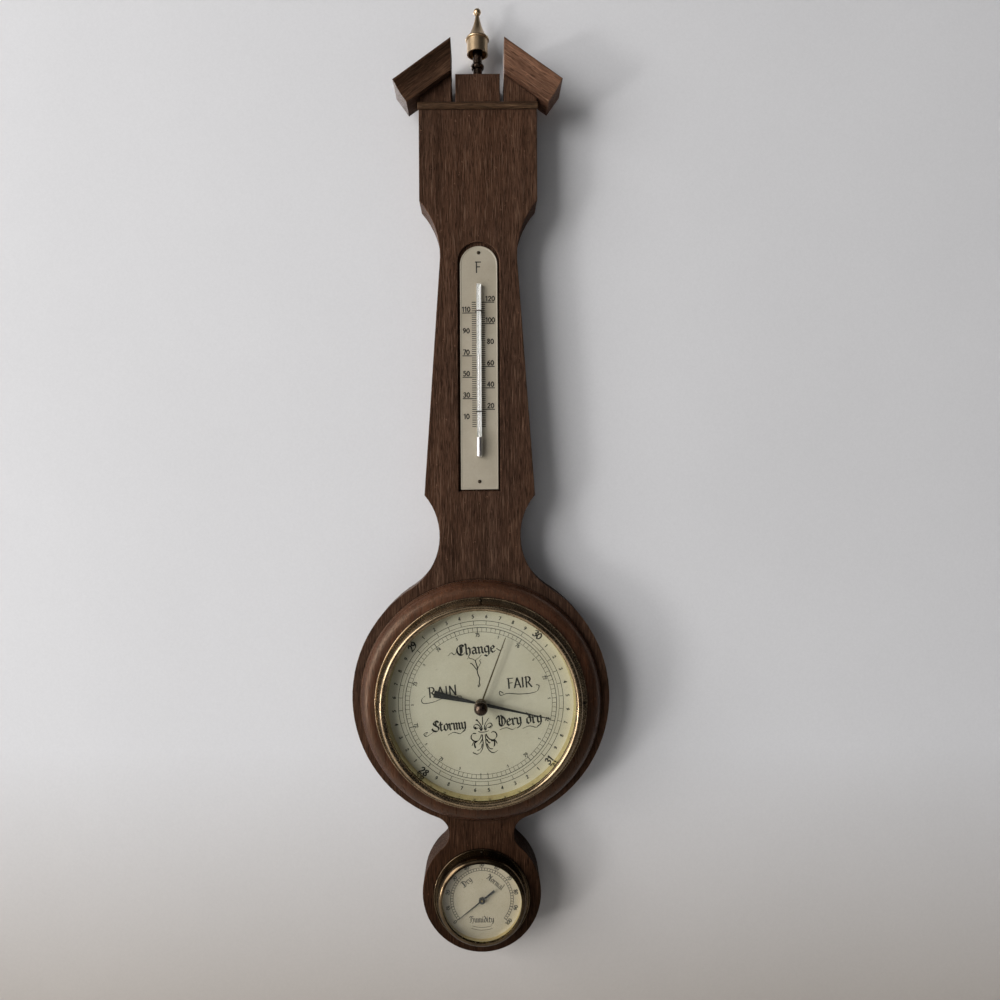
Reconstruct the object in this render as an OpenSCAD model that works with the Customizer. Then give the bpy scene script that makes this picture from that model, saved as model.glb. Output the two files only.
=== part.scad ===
// Wall-hung banjo weather station: an aneroid barometer, a thermometer and a hygrometer on one shaped board.
// The origin is the mouth of the hanging hole on the back face. The front faces -Y and +Z is up.

/* [Board] */
// Thickness of the board
board_t = 22; // [20:0.5:28]
// Width of the square head
head_w = 75.4; // [68:0.2:84]
// Drop from the hanging hole to the foot of the square head
head_drop = 32.6; // [26:0.2:40]
// Radius of the scoop below the head
scoop_r = 54; // [44:1:70]
// Width of the waist below the scoop
waist_w = 49.2; // [42:0.2:56]
// Width at the lower corners of the flare
flare_w = 70.6; // [64:0.2:76]
// Radius of the cove above the round
cove_r = 40; // [34:0.5:48]
// Least width of the neck above the round
neck_w = 51.6; // [44:0.2:58]
// Radius of the round that carries the barometer
round_r = 82; // [80:0.5:92]
// Drop from the hanging hole to the centre of the round
round_drop = 349.4; // [340:0.2:370]
// Radius of the small round that carries the hygrometer
tail_r = 37.8; // [34:0.2:44]
// Drop from the hanging hole to the centre of the small round
tail_drop = 474.6; // [465:0.2:490]
// Least radius of the fillet between the two rounds
tail_fillet_r = 11.5; // [8:0.5:18]
// Least width of the neck between the two rounds
tail_neck_w = 40; // [30:0.5:41]
// Radius of the hanging hole
hang_hole_r = 4.5; // [3:0.1:6]
// Depth of the hanging hole
hang_hole_depth = 12; // [8:0.5:16]

/* [Pediment] */
// Width of the block between the two saw kerfs
block_w = 28.4; // [22:0.2:34]
// Height of the block above the hanging hole
block_top = 48; // [44:0.5:56]
// Width of a saw kerf
kerf_w = 2.6; // [1.5:0.1:4]
// Height of the foot of the kerfs above the hanging hole
kerf_bottom = 30; // [24:0.5:33]
// Slope of the roof in degrees
roof_slope = 35.7; // [28:0.1:40]
// Height of a roof moulding, square to the slope
roof_h = 14.2; // [11:0.2:18]
// Distance of a roof moulding's back from the wall
roof_back = 9; // [4:0.5:12]
// Reach of a roof moulding's top edge in front of the board
roof_projection = 10; // [7.5:0.5:14]
// Reach of a roof moulding's bottom edge in front of the board
roof_foot_projection = 5; // [3:0.5:6.5]
// Reach of a roof moulding past the shoulder, along the slope
roof_overhang = 9; // [5:0.5:14]
// Height of the flat fascia and of the flat foot on a roof moulding
roof_fascia = 2; // [1:0.1:3]
// Radius of the hollow on a roof moulding's face
roof_hollow_r = 14; // [9:0.5:30]
// Radius of the half-round bead under the pediment
bead_r = 2.35; // [1.5:0.05:3]
// Reach of the bead past each side of the head
bead_overhang = 0.6; // [0:0.1:2]

/* [Finial] */
// Radius of the foot of the collar
finial_foot_r = 4.4; // [3.8:0.1:6]
// Radius of the stem
finial_stem_r = 3; // [2.4:0.1:3.6]
// Greatest radius of the bead on the stem
finial_bead_r = 4.3; // [3.9:0.1:5.5]
// Height of the bead's centre above the block
finial_bead_h = 10.5; // [8:0.1:13]
// Height of the stem above the block
finial_stem_h = 24; // [21:0.5:26]
// Outer radius of the cup
cup_r = 6.8; // [5.8:0.1:8]
// Wall of the cup
cup_wall = 0.8; // [0.5:0.1:1.2]
// Height of the cup's mouth above the block
cup_mouth_h = 18.7; // [16:0.1:20]
// Height of the lip's centre above the block
lip_h = 28.3; // [27:0.1:30]
// Radius of the lip's rounded edge
lip_edge_r = 0.8; // [0.5:0.1:1.2]
// Height of the neck under the ball above the block
spire_neck_h = 44.4; // [40:0.1:50]
// Radius of the neck under the ball
spire_neck_r = 1.2; // [0.9:0.1:1.6]
// Radius of the hollow of the spire's side
spire_hollow_r = 40; // [20:1:80]
// Radius of the ball
ball_r = 2.4; // [2:0.1:3.2]
// Radius of the stud
stud_r = 1.5; // [1.2:0.1:1.8]
// Depth of the stud in the block
stud_depth = 12; // [8:0.5:15]

/* [Dial moulding] */
// Width of the ring's flat top outside the bezel
ring_flat_w = 2.3; // [0.8:0.1:4]
// Width of the ring's round, from its flat top to its outer edge
ring_roll_w = 7.8; // [6:0.1:9]
// Height of the ring above the board
ring_h = 8; // [7:0.1:10]
// Height of the step at the ring's foot
ring_step = 1.25; // [0.6:0.05:2]
// Width of the flat at the foot of the ring's round
ring_quirk = 0.6; // [0.2:0.1:1.5]
// Drop of the barometer's centre below the centre of the round
dial_offset = 2; // [0:0.1:3]

/* [Barometer housing] */
// Outer radius of the can's flange
case_flange_r = 63; // [61:0.1:65]
// Width of the can's flange outside the can
case_flange_w = 7; // [6:0.1:8]
// Distance of the can's back from the wall
case_back = 3; // [2.6:0.1:4]
// Sheet thickness of the can
case_wall = 0.6; // [0.4:0.05:0.8]
// Depth of the rebate that takes the flange
rebate_depth = 1.6; // [1.2:0.05:2.2]
// Distance of the dial's edge inside the flange's edge
dial_inset = 3; // [1.5:0.1:4.4]
// Thickness of the dial
dial_t = 0.8; // [0.5:0.05:1.2]
// Height of the reflector between the dial and the glass
reflector_h = 5; // [4.6:0.1:7]
// Width of the dial's edge under the reflector
reflector_cover = 1.8; // [1.6:0.1:3.5]
// Flare of the reflector's opening from the dial to the glass
reflector_flare = 1; // [0.2:0.1:1.8]
// Thickness of the glass
glass_t = 2; // [1.5:0.1:3]
// Reach of the bezel's wall past the flange's edge
bezel_reach = 0.2; // [0:0.1:1]
// Width of the bezel's flange outside its wall
bezel_flange_w = 3.5; // [2.8:0.1:4.8]
// Width of the bezel's crown from its wall to its lip
bezel_crown_w = 4.2; // [3.2:0.1:5.2]
// Sheet thickness of both bezels
bezel_sheet = 0.7; // [0.5:0.05:0.9]
// Radius of the rolled edge of both bezels
bezel_edge_r = 0.55; // [0.4:0.05:0.7]

/* [Barometer hands] */
// Length of the pressure hand from its centre
pressure_hand_l = 44.5; // [38:0.5:50]
// Length of the pressure hand's tail
pressure_tail_l = 30; // [24:0.5:38]
// Width of the pressure hand's tail at its end
pressure_tail_w = 4.5; // [3:0.1:6]
// Direction of the pressure hand, in degrees clockwise from the top
pressure_reading = 102.4; // [0:0.1:359]
// Length of the set hand from its centre
set_hand_l = 44.5; // [40:0.5:52]
// Direction of the set hand, in degrees clockwise from the top
set_reading = 20.5; // [0:0.1:359]
// Thickness of all hands
hand_t = 0.4; // [0.3:0.05:0.5]
// Radius of the set knob
knob_r = 4.2; // [3.9:0.1:5.5]
// Height of the set knob
knob_h = 7.4; // [5:0.1:9]
// Radius of the set hand's spindle
spindle_r = 1.4; // [1:0.05:1.7]

/* [Movement] */
// Gap between the movement's base plate and the can's wall
base_gap = 5.4; // [3.4:0.1:5.8]
// Thickness of the movement's base plate
base_t = 1.5; // [1.2:0.1:1.8]
// Distance from the lever's pivot to the capsule's centre
lever_to_capsule = 22.5; // [21.9:0.1:22.9]
// Height of the capsule's centre above the hand's axis
capsule_up = 6; // [5:0.1:7]
// Radius of the capsule
capsule_r = 19; // [17:0.1:19.4]
// Height of the corrugated crown of each diaphragm
capsule_rise = 2.2; // [1.8:0.05:2.4]
// Height of the corrugation's waves
corrugation_h = 0.3; // [0.1:0.05:0.4]
// Number of waves in each diaphragm
corrugations = 3; // [2:1:5]
// Width of the main spring
main_spring_w = 12; // [9:0.5:14]
// Thickness of the main spring
main_spring_t = 0.8; // [0.6:0.05:1]
// Distance of the lever's pivot inside the edge of the base plate
lever_inset = 5.5; // [4.8:0.1:5.8]
// Distance of the lever's end to the right of the hand's axis
lever_end_right = 30; // [26:0.1:31]
// Thickness of the lever
lever_t = 0.8; // [0.6:0.05:1]
// Swing of the lever over the whole scale, in degrees
lever_swing = 1.7; // [1:0.1:2]
// Radius of the lever's pin
lever_pin_r = 1; // [0.8:0.05:1.2]
// Length of the rocking shaft's short arm
short_arm_l = 4; // [3.5:0.1:4.5]
// Height of the rocking shaft above the base plate
shaft_h = 5.5; // [5:0.1:6]
// Lean of the rocking shaft's arms at rest, in degrees
arm_lean = 12; // [0:1:16]
// Radius of the rocking shaft
shaft_r = 1.2; // [1:0.05:1.5]
// Radius of the chain's drum on the hand's arbor
drum_r = 1; // [0.8:0.05:1.3]
// Thickness of the chain
chain_t = 0.5; // [0.3:0.05:0.7]
// Pitch of the chain
chain_pitch = 1.5; // [1:0.1:3]
// Radius of the hand's arbor
arbor_r = 0.75; // [0.6:0.05:0.9]
// Thickness of the bridges
bridge_t = 1.2; // [1:0.05:1.5]
// Width of the bridges
bridge_w = 9; // [7:0.5:11]
// Distance of the pillars from the hand's axis
pillar_reach = 24; // [20:0.5:28]
// Radius of the pillars
pillar_r = 2.5; // [2:0.1:3]
// Outer radius of the hairspring
hairspring_r = 8; // [6:0.1:10]
// Radius of the adjusting screw
adjuster_r = 2.4; // [2:0.1:2.7]

/* [Thermometer] */
// Width of the thermometer's plate
plate_w = 25.3; // [21:0.1:28]
// Length of the thermometer's plate
plate_l = 157.5; // [150:0.5:162]
// Thickness of the thermometer's plate
plate_t = 0.8; // [0.5:0.05:1]
// Drop from the hanging hole to the plate's lower edge
plate_drop = 218.2; // [214:0.2:226]
// Gap between the plate and the sides of its recess
recess_side = 0.8; // [0.3:0.1:1.5]
// Gap between the plate's arch and the top of its recess
recess_head = 1.9; // [0.5:0.1:3]
// Gap between the plate and the foot of its recess
recess_foot = 0.4; // [0.2:0.1:1]
// Depth of the recess
recess_depth = 1.8; // [1.2:0.1:2.5]
// Radius of the glass tube
tube_r = 1.5; // [1.2:0.05:1.8]
// Height of the tube's top above the plate's lower edge
tube_top = 131.8; // [128:0.2:138]
// Radius of the capillary
capillary_r = 0.4; // [0.25:0.05:0.5]
// Radius of the bulb
bulb_r = 2.3; // [2:0.05:2.8]
// Height of the bulb's lower end above the plate's lower edge
bulb_bottom = 21.1; // [16:0.1:26]
// Length of the bulb
bulb_l = 13.4; // [10:0.1:16]
// Wall of the bulb
bulb_wall = 0.5; // [0.3:0.05:0.6]
// Height of the liquid's top above the plate's lower edge
liquid_top = 87; // [40:0.5:120]
// Heights of the two clips above the plate's lower edge
clip_heights = [50.5, 114.5];
// Radius of the clips' wire
clip_wire_r = 0.35; // [0.25:0.05:0.45]

/* [Hygrometer] */
// Drop of the hygrometer's centre below the centre of the small round
hygro_offset = 2.6; // [0:0.1:4]
// Outer radius of the hygrometer's can in the board
hygro_case_r = 21.5; // [20.5:0.1:23]
// Distance of the can's back from the wall
hygro_case_back = 5; // [3:0.1:7]
// Sheet thickness of the can
hygro_case_wall = 0.5; // [0.4:0.05:0.6]
// Outer radius of the can's upper wall, in front of the board
hygro_cup_r = 26; // [24.5:0.1:26.4]
// Height of the dial's back above the board
hygro_dial_h = 2.5; // [2:0.1:4]
// Radius of the dial
hygro_dial_r = 26.6; // [26.2:0.1:26.9]
// Thickness of the dial
hygro_dial_t = 0.5; // [0.4:0.05:0.8]
// Height of the spacer between the dial and the glass
hygro_spacer_h = 3; // [2.8:0.1:5]
// Radius of the spacer's opening
hygro_spacer_r = 25; // [24.6:0.1:25.8]
// Thickness of the glass
hygro_glass_t = 1.2; // [1:0.1:2]
// Outer radius of the bezel's wall
hygro_wall_r = 28.2; // [27.7:0.1:28.4]
// Outer radius of the bezel's flange
hygro_bezel_r = 30.8; // [30.6:0.1:32]
// Inner radius of the bezel's lip
hygro_lip_r = 25; // [24:0.1:25.6]
// Gap between the glass and the bezel's lip
hygro_lip_gap = 0.3; // [0.1:0.05:0.4]
// Length of the hygrometer's hand from its centre
hygro_hand_l = 18.8; // [15:0.1:22]
// Length of the hand's tail
hygro_tail_l = 10; // [6:0.1:13]
// Direction of the hand, in degrees clockwise from the top
hygro_reading = 231.5; // [0:0.1:359]
// Radius of the hand's arbor
hygro_arbor_r = 0.6; // [0.5:0.05:0.8]
// Outer radius of the moisture coil
coil_r = 8.5; // [6:0.1:9]
// Width of the moisture coil's strip
coil_w = 3.6; // [2.5:0.1:5]

/* [Fits] */
// Running clearance round a shaft, a stud or a screw
fit = 0.05; // [0.02:0.01:0.1]
// Clearance round a metal can in its wooden opening
wood_fit = 0.3; // [0.1:0.05:0.5]
// Clearance round a disc inside its bezel
disc_fit = 0.1; // [0.05:0.01:0.2]
// Gap between moving pieces that pass each other
pass_gap = 0.3; // [0.2:0.05:0.4]
// Shank radius of the small pins and screws
pin_r = 0.6; // [0.5:0.05:0.7]
// Head radius of the small pins and screws
pin_head_r = 1.15; // [0.9:0.05:1.2]
// Head height of the small pins and screws
pin_head_h = 0.8; // [0.5:0.05:1]
// Length of the small pins and screws in the wood
pin_l = 7; // [5:0.5:7]

/* [Hidden] */
$fn = 96;
// Overshoot of a cut past the face it opens
over = 1;
// Depth by which two touching arcs of the outline cross, so that they meet cleanly
lap = 0.05;

// Board outline, seen from the front
head_half = head_w / 2;
waist_half = waist_w / 2;
flare_half = flare_w / 2;
block_half = block_w / 2;
kerf_outer = block_half + kerf_w;
shoulder_y = block_top - (head_half - kerf_outer) * tan(roof_slope);
scoop_x = waist_half + scoop_r;
scoop_y = -head_drop - sqrt(pow(scoop_r, 2) - pow(scoop_x - head_half, 2));
cove_x = neck_w / 2 + cove_r;
cove_reach = round_r + cove_r - lap;
cove_y = -round_drop + sqrt(pow(cove_reach, 2) - pow(cove_x, 2));
flare_y = cove_y + sqrt(pow(cove_r, 2) - pow(cove_x - flare_half, 2));
// The flare's side is the line from its corner that touches the scoop
flare_reach = norm([flare_half - scoop_x, flare_y - scoop_y]);
flare_touch_r = scoop_r - lap;
flare_turn = atan2(flare_y - scoop_y, flare_half - scoop_x) - acos(flare_touch_r / flare_reach);
flare_start = [scoop_x + flare_touch_r * cos(flare_turn), scoop_y + flare_touch_r * sin(flare_turn)];
flare_corner = [flare_half, flare_y];
flare_end = flare_corner + over * (flare_corner - flare_start) / norm(flare_corner - flare_start);
cove_share = (round_r - lap / 2) / cove_reach;
cove_end = [cove_x * cove_share, -round_drop + (cove_y + round_drop) * cove_share];
// The fillet between the rounds grows where its least radius would leave the neck too thin
tail_gap = tail_drop - round_drop;
neck_fall = (pow(round_r, 2) - pow(tail_r, 2) + pow(tail_gap, 2)) / (2 * tail_gap);
neck_slope = (round_r - tail_r) / tail_gap;
neck_lead = round_r - tail_neck_w / 2 - neck_fall * neck_slope;
neck_rise = pow(tail_neck_w / 2, 2) + pow(neck_fall, 2) - pow(round_r, 2);
neck_fillet_r = neck_rise / (neck_lead + sqrt(pow(neck_lead, 2) - pow(neck_slope, 2) * neck_rise));
fillet_r = max(tail_fillet_r, neck_fillet_r);
round_reach = round_r + fillet_r - lap;
tail_reach = tail_r + fillet_r - lap;
fillet_fall = (pow(round_reach, 2) - pow(tail_reach, 2) + pow(tail_gap, 2)) / (2 * tail_gap);
fillet_x = sqrt(pow(round_reach, 2) - pow(fillet_fall, 2));
fillet_y = -round_drop - fillet_fall;
fillet_share = (round_r - lap / 2) / round_reach;
tail_share = (tail_r - lap / 2) / tail_reach;

// Heights in front of the wall at the barometer
dial_drop = round_drop + dial_offset;
case_r = case_flange_r - case_flange_w;
dial_r = case_flange_r - dial_inset;
reflector_sight_r = dial_r - reflector_cover;
reflector_glass_r = reflector_sight_r + reflector_flare;
bezel_wall_r = case_flange_r + bezel_reach;
bezel_r = bezel_wall_r + bezel_flange_w;
bezel_lip_r = bezel_wall_r - bezel_crown_w;
ring_top_r = bezel_r + ring_flat_w;
ring_r = ring_top_r + ring_roll_w;
ring_top = board_t + ring_h;
ring_round_w = ring_roll_w - ring_quirk;
ring_round_h = ring_h - ring_step;
ring_arc_r = (pow(ring_round_w, 2) + pow(ring_round_h, 2)) / (2 * ring_round_h);
rebate_floor = ring_top - rebate_depth;
case_bore_r = case_r + wood_fit;
dial_back = rebate_floor + case_wall;
dial_front = dial_back + dial_t;
glass_back = dial_front + reflector_h;
glass_front = glass_back + glass_t;
bezel_bore_r = bezel_wall_r - bezel_sheet;
case_floor = case_back + case_wall;

// Widths and heights of the hands
hand_tip_w = 0.3;
pressure_hub_r = 2.6;
pressure_neck_w = 1.2;
pressure_root_w = 2.2;
set_hub_r = 3.6;
set_root_w = 1.1;
set_tip_w = 0.5;
hub_lift = 1;
hand_hub_h = 1.3;
blade_lift = 0.5;
arbor_nose = 0.1;
pressure_hub_z = dial_front + hub_lift;
pressure_z = pressure_hub_z + blade_lift;
arbor_end = pressure_hub_z + hand_hub_h + arbor_nose;
set_hub_z = arbor_end + pass_gap;
set_z = set_hub_z + blade_lift;
bush_collar_h = 0.5;
bush_flange_h = 0.6;
bush_wall = 1.2;
bush_r = spindle_r + fit + bush_wall;
bush_flange_w = 1.4;
bush_flange_r = bush_r + bush_flange_w;
knob_z = glass_front + bush_flange_h + pass_gap;
knob_bore_depth = knob_h - 2;

// Places in the movement, with heights counted from the wall
base_r = case_r - case_wall - base_gap;
lever_pivot_left = base_r - lever_inset;
capsule_left = lever_pivot_left - lever_to_capsule;
bed = case_floor + base_t;
capsule_foot_h = 0.4;
capsule_boss_t = 0.6;
capsule_boss_r = 6;
capsule_mid = bed + capsule_rise + capsule_boss_t + capsule_foot_h;
stud_shoulder_h = 0.5;
leaf_z = capsule_mid + capsule_rise + capsule_boss_t + stud_shoulder_h;
nut_z = leaf_z + main_spring_t;
nut_h = 1.2;
nut_r = 2.6;
capsule_stud_r = 1.3;
stud_tip_z = nut_z + nut_h + 0.3;
lever_touch = 0.15;
lever_z = stud_tip_z + lever_touch;
lever_axis_z = lever_z + lever_t / 2;
lever_reach = lever_pivot_left + lever_end_right;
lever_rise = (lever_pivot_left + bridge_w / 2) * sin(lever_swing);
rear_bridge_z = lever_z + lever_t + lever_rise + pass_gap;
rear_bridge_top = rear_bridge_z + bridge_t;
screw_head_h = 1.2;
front_bridge_top = dial_back - screw_head_h - 0.8;
front_bridge_z = front_bridge_top - bridge_t;
hairspring_z = rear_bridge_top + 1;
hairspring_w = 0.8;
drum_z = hairspring_z + hairspring_w + 0.9;
drum_l = 2.4;
chain_z = drum_z + drum_l / 2;
chain_y = -(drum_r + chain_t / 2 + fit);

// The hand's arbor and its hairspring, which winds from a gap outside the arbor to its stud
arbor_pivot_r = arbor_r * 0.7;
arbor_collet_r = arbor_r + 0.35;
hairspring_t = 0.25;
hairspring_turns = 5.25;

// The main spring's riser stands clear of the capsule's rim
spring_riser_gap = 6;
spring_riser_y = -capsule_r - spring_riser_gap;
spring_foot_l = 12;

// Lever and rocking shaft, seen from the front of the dial
capsule_at = [-capsule_left, capsule_up];
lever_boss_r = lever_pin_r + 0.9;
lever_boss_l = 8;
ear_t = 1.2;
ear_w = 5.6;
foot_t = 1;
shaft_x = lever_end_right + short_arm_l;
shaft_z = bed + shaft_h;
shaft_over_capsule = 5;
shaft_low = -7;
shaft_high = capsule_up + shaft_over_capsule;
pivot_r = shaft_r / 2;
long_arm_l = (chain_z - shaft_z) / cos(arm_lean);
arm_t = 0.8;
arm_pin_r = 0.5;
link_r = 0.45;
eye_bore_r = arm_pin_r + pass_gap;
eye_r = eye_bore_r + 0.6;
eye_t = 0.8;
arm_tip = [shaft_x - short_arm_l * cos(arm_lean), shaft_z - short_arm_l * sin(arm_lean)];
long_tip_x = shaft_x - long_arm_l * sin(arm_lean);
long_arm_r = 0.6;

// Screws of the movement
case_screw_angles = [75, 220, 325];
case_screw_r = 1;
case_screw_inset = 6;
case_screw_reach = base_r - case_screw_inset;
movement_screw_r = 0.9;
movement_head_r = 1.8;
thread_l = 3.5;
thread_hole_l = thread_l + 0.5;
adjuster_head_r = adjuster_r + 0.8;
slot_w = 0.6;
slot_depth = 0.6;

// Heights at the hygrometer
hygro_dial_back = board_t + hygro_dial_h;
hygro_dial_front = hygro_dial_back + hygro_dial_t;
hygro_glass_back = hygro_dial_front + hygro_spacer_h;
hygro_glass_front = hygro_glass_back + hygro_glass_t;
hygro_bore_r = hygro_wall_r - bezel_sheet;
hygro_drop = tail_drop + hygro_offset;
// The bezel's quarter-round front springs from its wall and closes over the glass
hygro_round_r = hygro_bore_r - hygro_lip_r;
hygro_round_z = hygro_glass_front + hygro_lip_gap - hygro_round_r;
function hygro_inside(z) = hygro_lip_r + sqrt(pow(hygro_round_r, 2) - pow(z - hygro_round_z, 2)) - disc_fit;
hygro_hub_z = hygro_dial_front + hub_lift;
hygro_hand_z = hygro_hub_z + blade_lift;
hygro_end = hygro_hub_z + hand_hub_h + arbor_nose;
bracket_t = 0.8;
bracket_w = 7;
bracket_half = 12;
bracket_foot = 4;
bracket_depth = 13;
coil_gap = 2;
bracket_back = hygro_dial_back - bracket_depth;
coil_z = bracket_back + bracket_t + coil_gap;
hygro_hub_r = 2;
hygro_root_w = 0.9;
hygro_tail_w = 1.4;
hygro_tip_w = 0.2;
coil_t = 0.3;
collet_r = 1.6;
vent_r = 2.5;
vent_count = 6;

// Thermometer
recess_floor = board_t - recess_depth;
plate_front = recess_floor + plate_t;
tube_z = plate_front + bulb_r + fit;
bulb_top = bulb_bottom + bulb_l;
bulb_bore_r = bulb_r - bulb_wall;
clip_bend_r = tube_r + clip_wire_r + fit;
plate_pin_low = 6;
plate_pin_high = 5.1;
plate_pin_heights = [plate_pin_low, plate_l - plate_pin_high];

// Pins through the bezels
bezel_pin_angles = [0, 90, 180, 270];
hygro_pin_angles = [90, 210, 330];
bezel_pin_reach = (bezel_wall_r + bezel_r - 2 * bezel_edge_r) / 2;
hygro_pin_reach = (hygro_wall_r + hygro_bezel_r - 2 * bezel_edge_r) / 2;

// Finial, heights above the block
finial_hole_depth = stud_depth + 0.5;
spire_thread_h = 10;
lip_r = cup_r + 0.9;
lip_top = lip_h + lip_edge_r;
ball_h = spire_neck_h + sqrt(ball_r * ball_r - spire_neck_r * spire_neck_r);

// Places

// Turns a drawing with x to the right, y up and z away from the wall into the part's frame
module wall() {
    rotate([90, 0, 0]) children();
}

module at_dial() {
    wall() translate([0, -dial_drop, 0]) children();
}

module at_tail() {
    wall() translate([0, -hygro_drop, 0]) children();
}

module at_finial() {
    wall() translate([0, block_top, board_t / 2]) rotate([-90, 0, 0]) children();
}

// Turns a drawing that points up to a reading on a dial
module pointed(clockwise) {
    rotate([0, 0, -clockwise]) children();
}

module around(reach, angles) {
    for (a = angles) rotate([0, 0, a]) translate([reach, 0, 0]) children();
}

// Shapes

module rod(r, z0, z1) {
    translate([0, 0, z0]) cylinder(r = r, h = z1 - z0);
}

module rod_y(r, y0, y1) {
    translate([0, y0, 0]) rotate([-90, 0, 0]) cylinder(r = r, h = y1 - y0);
}

// Rectangle of a turned section, from radius r0 to r1 and from height z0 to z1
module band(r0, r1, z0, z1) {
    translate([r0, z0]) square([r1 - r0, z1 - z0]);
}

// Centre of the circle of radius r through p and q, on the left of the way from p to q
function arc_centre(p, q, r) =
    let (d = q - p, c = norm(d))
    (p + q) / 2 + [-d.y, d.x] / c * sqrt(r * r - c * c / 4);

// Strip along a flat spiral of t thickness
module spiral_strip(r0, r1, turns, t) {
    steps = round(turns * 24);
    function at(i, side) =
        let (r = r0 + (r1 - r0) * i / steps + side * t / 2, a = 360 * turns * i / steps)
        [r * cos(a), r * sin(a)];
    polygon(concat([for (i = [0:steps]) at(i, 1)], [for (i = [steps:-1:0]) at(i, -1)]));
}

// Nail or screw along z with a domed head that rests at seat
module pin(seat, depth, r, head_r, head_h) {
    dome_r = (head_r * head_r + head_h * head_h) / (2 * head_h);
    rod(r, seat - depth, seat + head_h / 4);
    intersection() {
        translate([0, 0, seat + head_h - dome_r]) sphere(dome_r);
        translate([-dome_r, -dome_r, seat]) cube([2 * dome_r, 2 * dome_r, head_h + over]);
    }
}

// Bracket ear in the plane of x and z, with a round top and a hole, standing on foot
module ear(x, y, z, w, t, foot, hole) {
    translate([x, y, 0]) rotate([90, 0, 0]) linear_extrude(t) difference() {
        union() {
            translate([-w / 2, foot]) square([w, z - foot]);
            translate([0, z]) circle(w / 2);
        }
        translate([0, z]) circle(hole);
    }
}

// Round-ended bar across the hand's axis, with pillar holes and a middle hole
module bridge(z, pillar_hole, middle_hole) {
    translate([0, 0, z]) linear_extrude(bridge_t) difference() {
        union() {
            square([bridge_w, 2 * pillar_reach], center = true);
            for (s = [-1, 1]) translate([0, s * pillar_reach]) circle(bridge_w / 2);
        }
        for (s = [-1, 1]) translate([0, s * pillar_reach]) circle(pillar_hole);
        circle(middle_hole);
    }
}

// Turned section of a sheet bezel: flange with a rolled edge, wall and half-round crown over the glass
module bezel_foot(flange_r, wall_r, seat, top) {
    band(wall_r - bezel_sheet, flange_r - bezel_edge_r, seat, seat + bezel_sheet);
    translate([flange_r - bezel_edge_r, seat + bezel_edge_r]) circle(bezel_edge_r);
    band(wall_r - bezel_sheet, wall_r, seat, top);
}

// Bezel with a half-round crown in front of the glass
module crowned_section(flange_r, wall_r, lip_r, seat, crown) {
    bezel_foot(flange_r, wall_r, seat, crown);
    intersection() {
        translate([(wall_r + lip_r) / 2, crown]) circle((wall_r - lip_r) / 2);
        band(lip_r, wall_r, crown, crown + wall_r - lip_r);
    }
}

// Bezel of even sheet that rounds over from its wall to its lip
module rounded_section(flange_r, wall_r, lip_r, seat, spring) {
    turn_r = wall_r - lip_r;
    bezel_foot(flange_r, wall_r, seat, spring + lap);
    intersection() {
        translate([lip_r, spring]) difference() {
            circle(turn_r);
            circle(turn_r - bezel_sheet);
        }
        band(lip_r, wall_r, spring, spring + turn_r + over);
    }
}

// Corrugated diaphragm above its rim plane, which is at height 0
module diaphragm_section() {
    skin = 0.4;
    boss = capsule_boss_r;
    shoulder = capsule_r - 4;
    steps = corrugations * 8;
    function wave(i) = [
        boss + (shoulder - boss) * i / steps,
        capsule_rise - skin + corrugation_h * sin(360 * corrugations * i / steps)
    ];
    crest = [for (i = [steps:-1:0]) wave(i) + [0, skin]];
    trough = [for (i = [0:steps]) wave(i)];
    rim = capsule_r - 2;
    polygon(concat(
        [[0, capsule_rise - skin]],
        trough,
        [[rim - skin, 0], [capsule_r, 0], [capsule_r, skin], [rim, skin]],
        crest,
        [[boss, capsule_rise + capsule_boss_t], [0, capsule_rise + capsule_boss_t]]
    ));
}

module board_outline() {
    side = [
        [kerf_outer, block_top],
        [head_half, shoulder_y],
        [head_half, -head_drop - over],
        flare_start,
        flare_end,
        cove_end
    ];
    tail_side = [
        [fillet_x * fillet_share, -round_drop - fillet_fall * fillet_share],
        [fillet_x * tail_share, -tail_drop + (fillet_y + tail_drop) * tail_share]
    ];
    difference() {
        union() {
            difference() {
                polygon(concat(
                    [for (p = side) [-p.x, p.y]],
                    [[0, -round_drop]],
                    [for (i = [len(side) - 1:-1:0]) side[i]]
                ));
                for (s = [-1, 1]) {
                    translate([s * scoop_x, scoop_y]) circle(scoop_r);
                    translate([s * cove_x, cove_y]) circle(cove_r);
                }
            }
            difference() {
                polygon(concat(
                    [[0, -round_drop]],
                    [for (p = tail_side) [-p.x, p.y]],
                    [[0, -tail_drop]],
                    [for (i = [1:-1:0]) tail_side[i]]
                ));
                for (s = [-1, 1]) translate([s * fillet_x, fillet_y]) circle(fillet_r);
            }
            translate([0, -round_drop]) circle(round_r);
            translate([0, -tail_drop]) circle(tail_r);
        }
        for (s = [-1, 1]) {
            translate([s * (block_half + kerf_w / 2) - kerf_w / 2, kerf_bottom])
                square([kerf_w, block_top - kerf_bottom + over]);
        }
    }
}

// Arched outline of the thermometer's plate, or of its recess with gaps round it
module plate_outline(side, head, foot) {
    r = plate_w / 2 + side;
    arch = plate_l - plate_w / 2 + head - side;
    translate([0, -plate_drop]) {
        translate([-r, -foot]) square([2 * r, arch + foot]);
        translate([0, arch]) circle(r);
    }
}

// Wooden case

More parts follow.
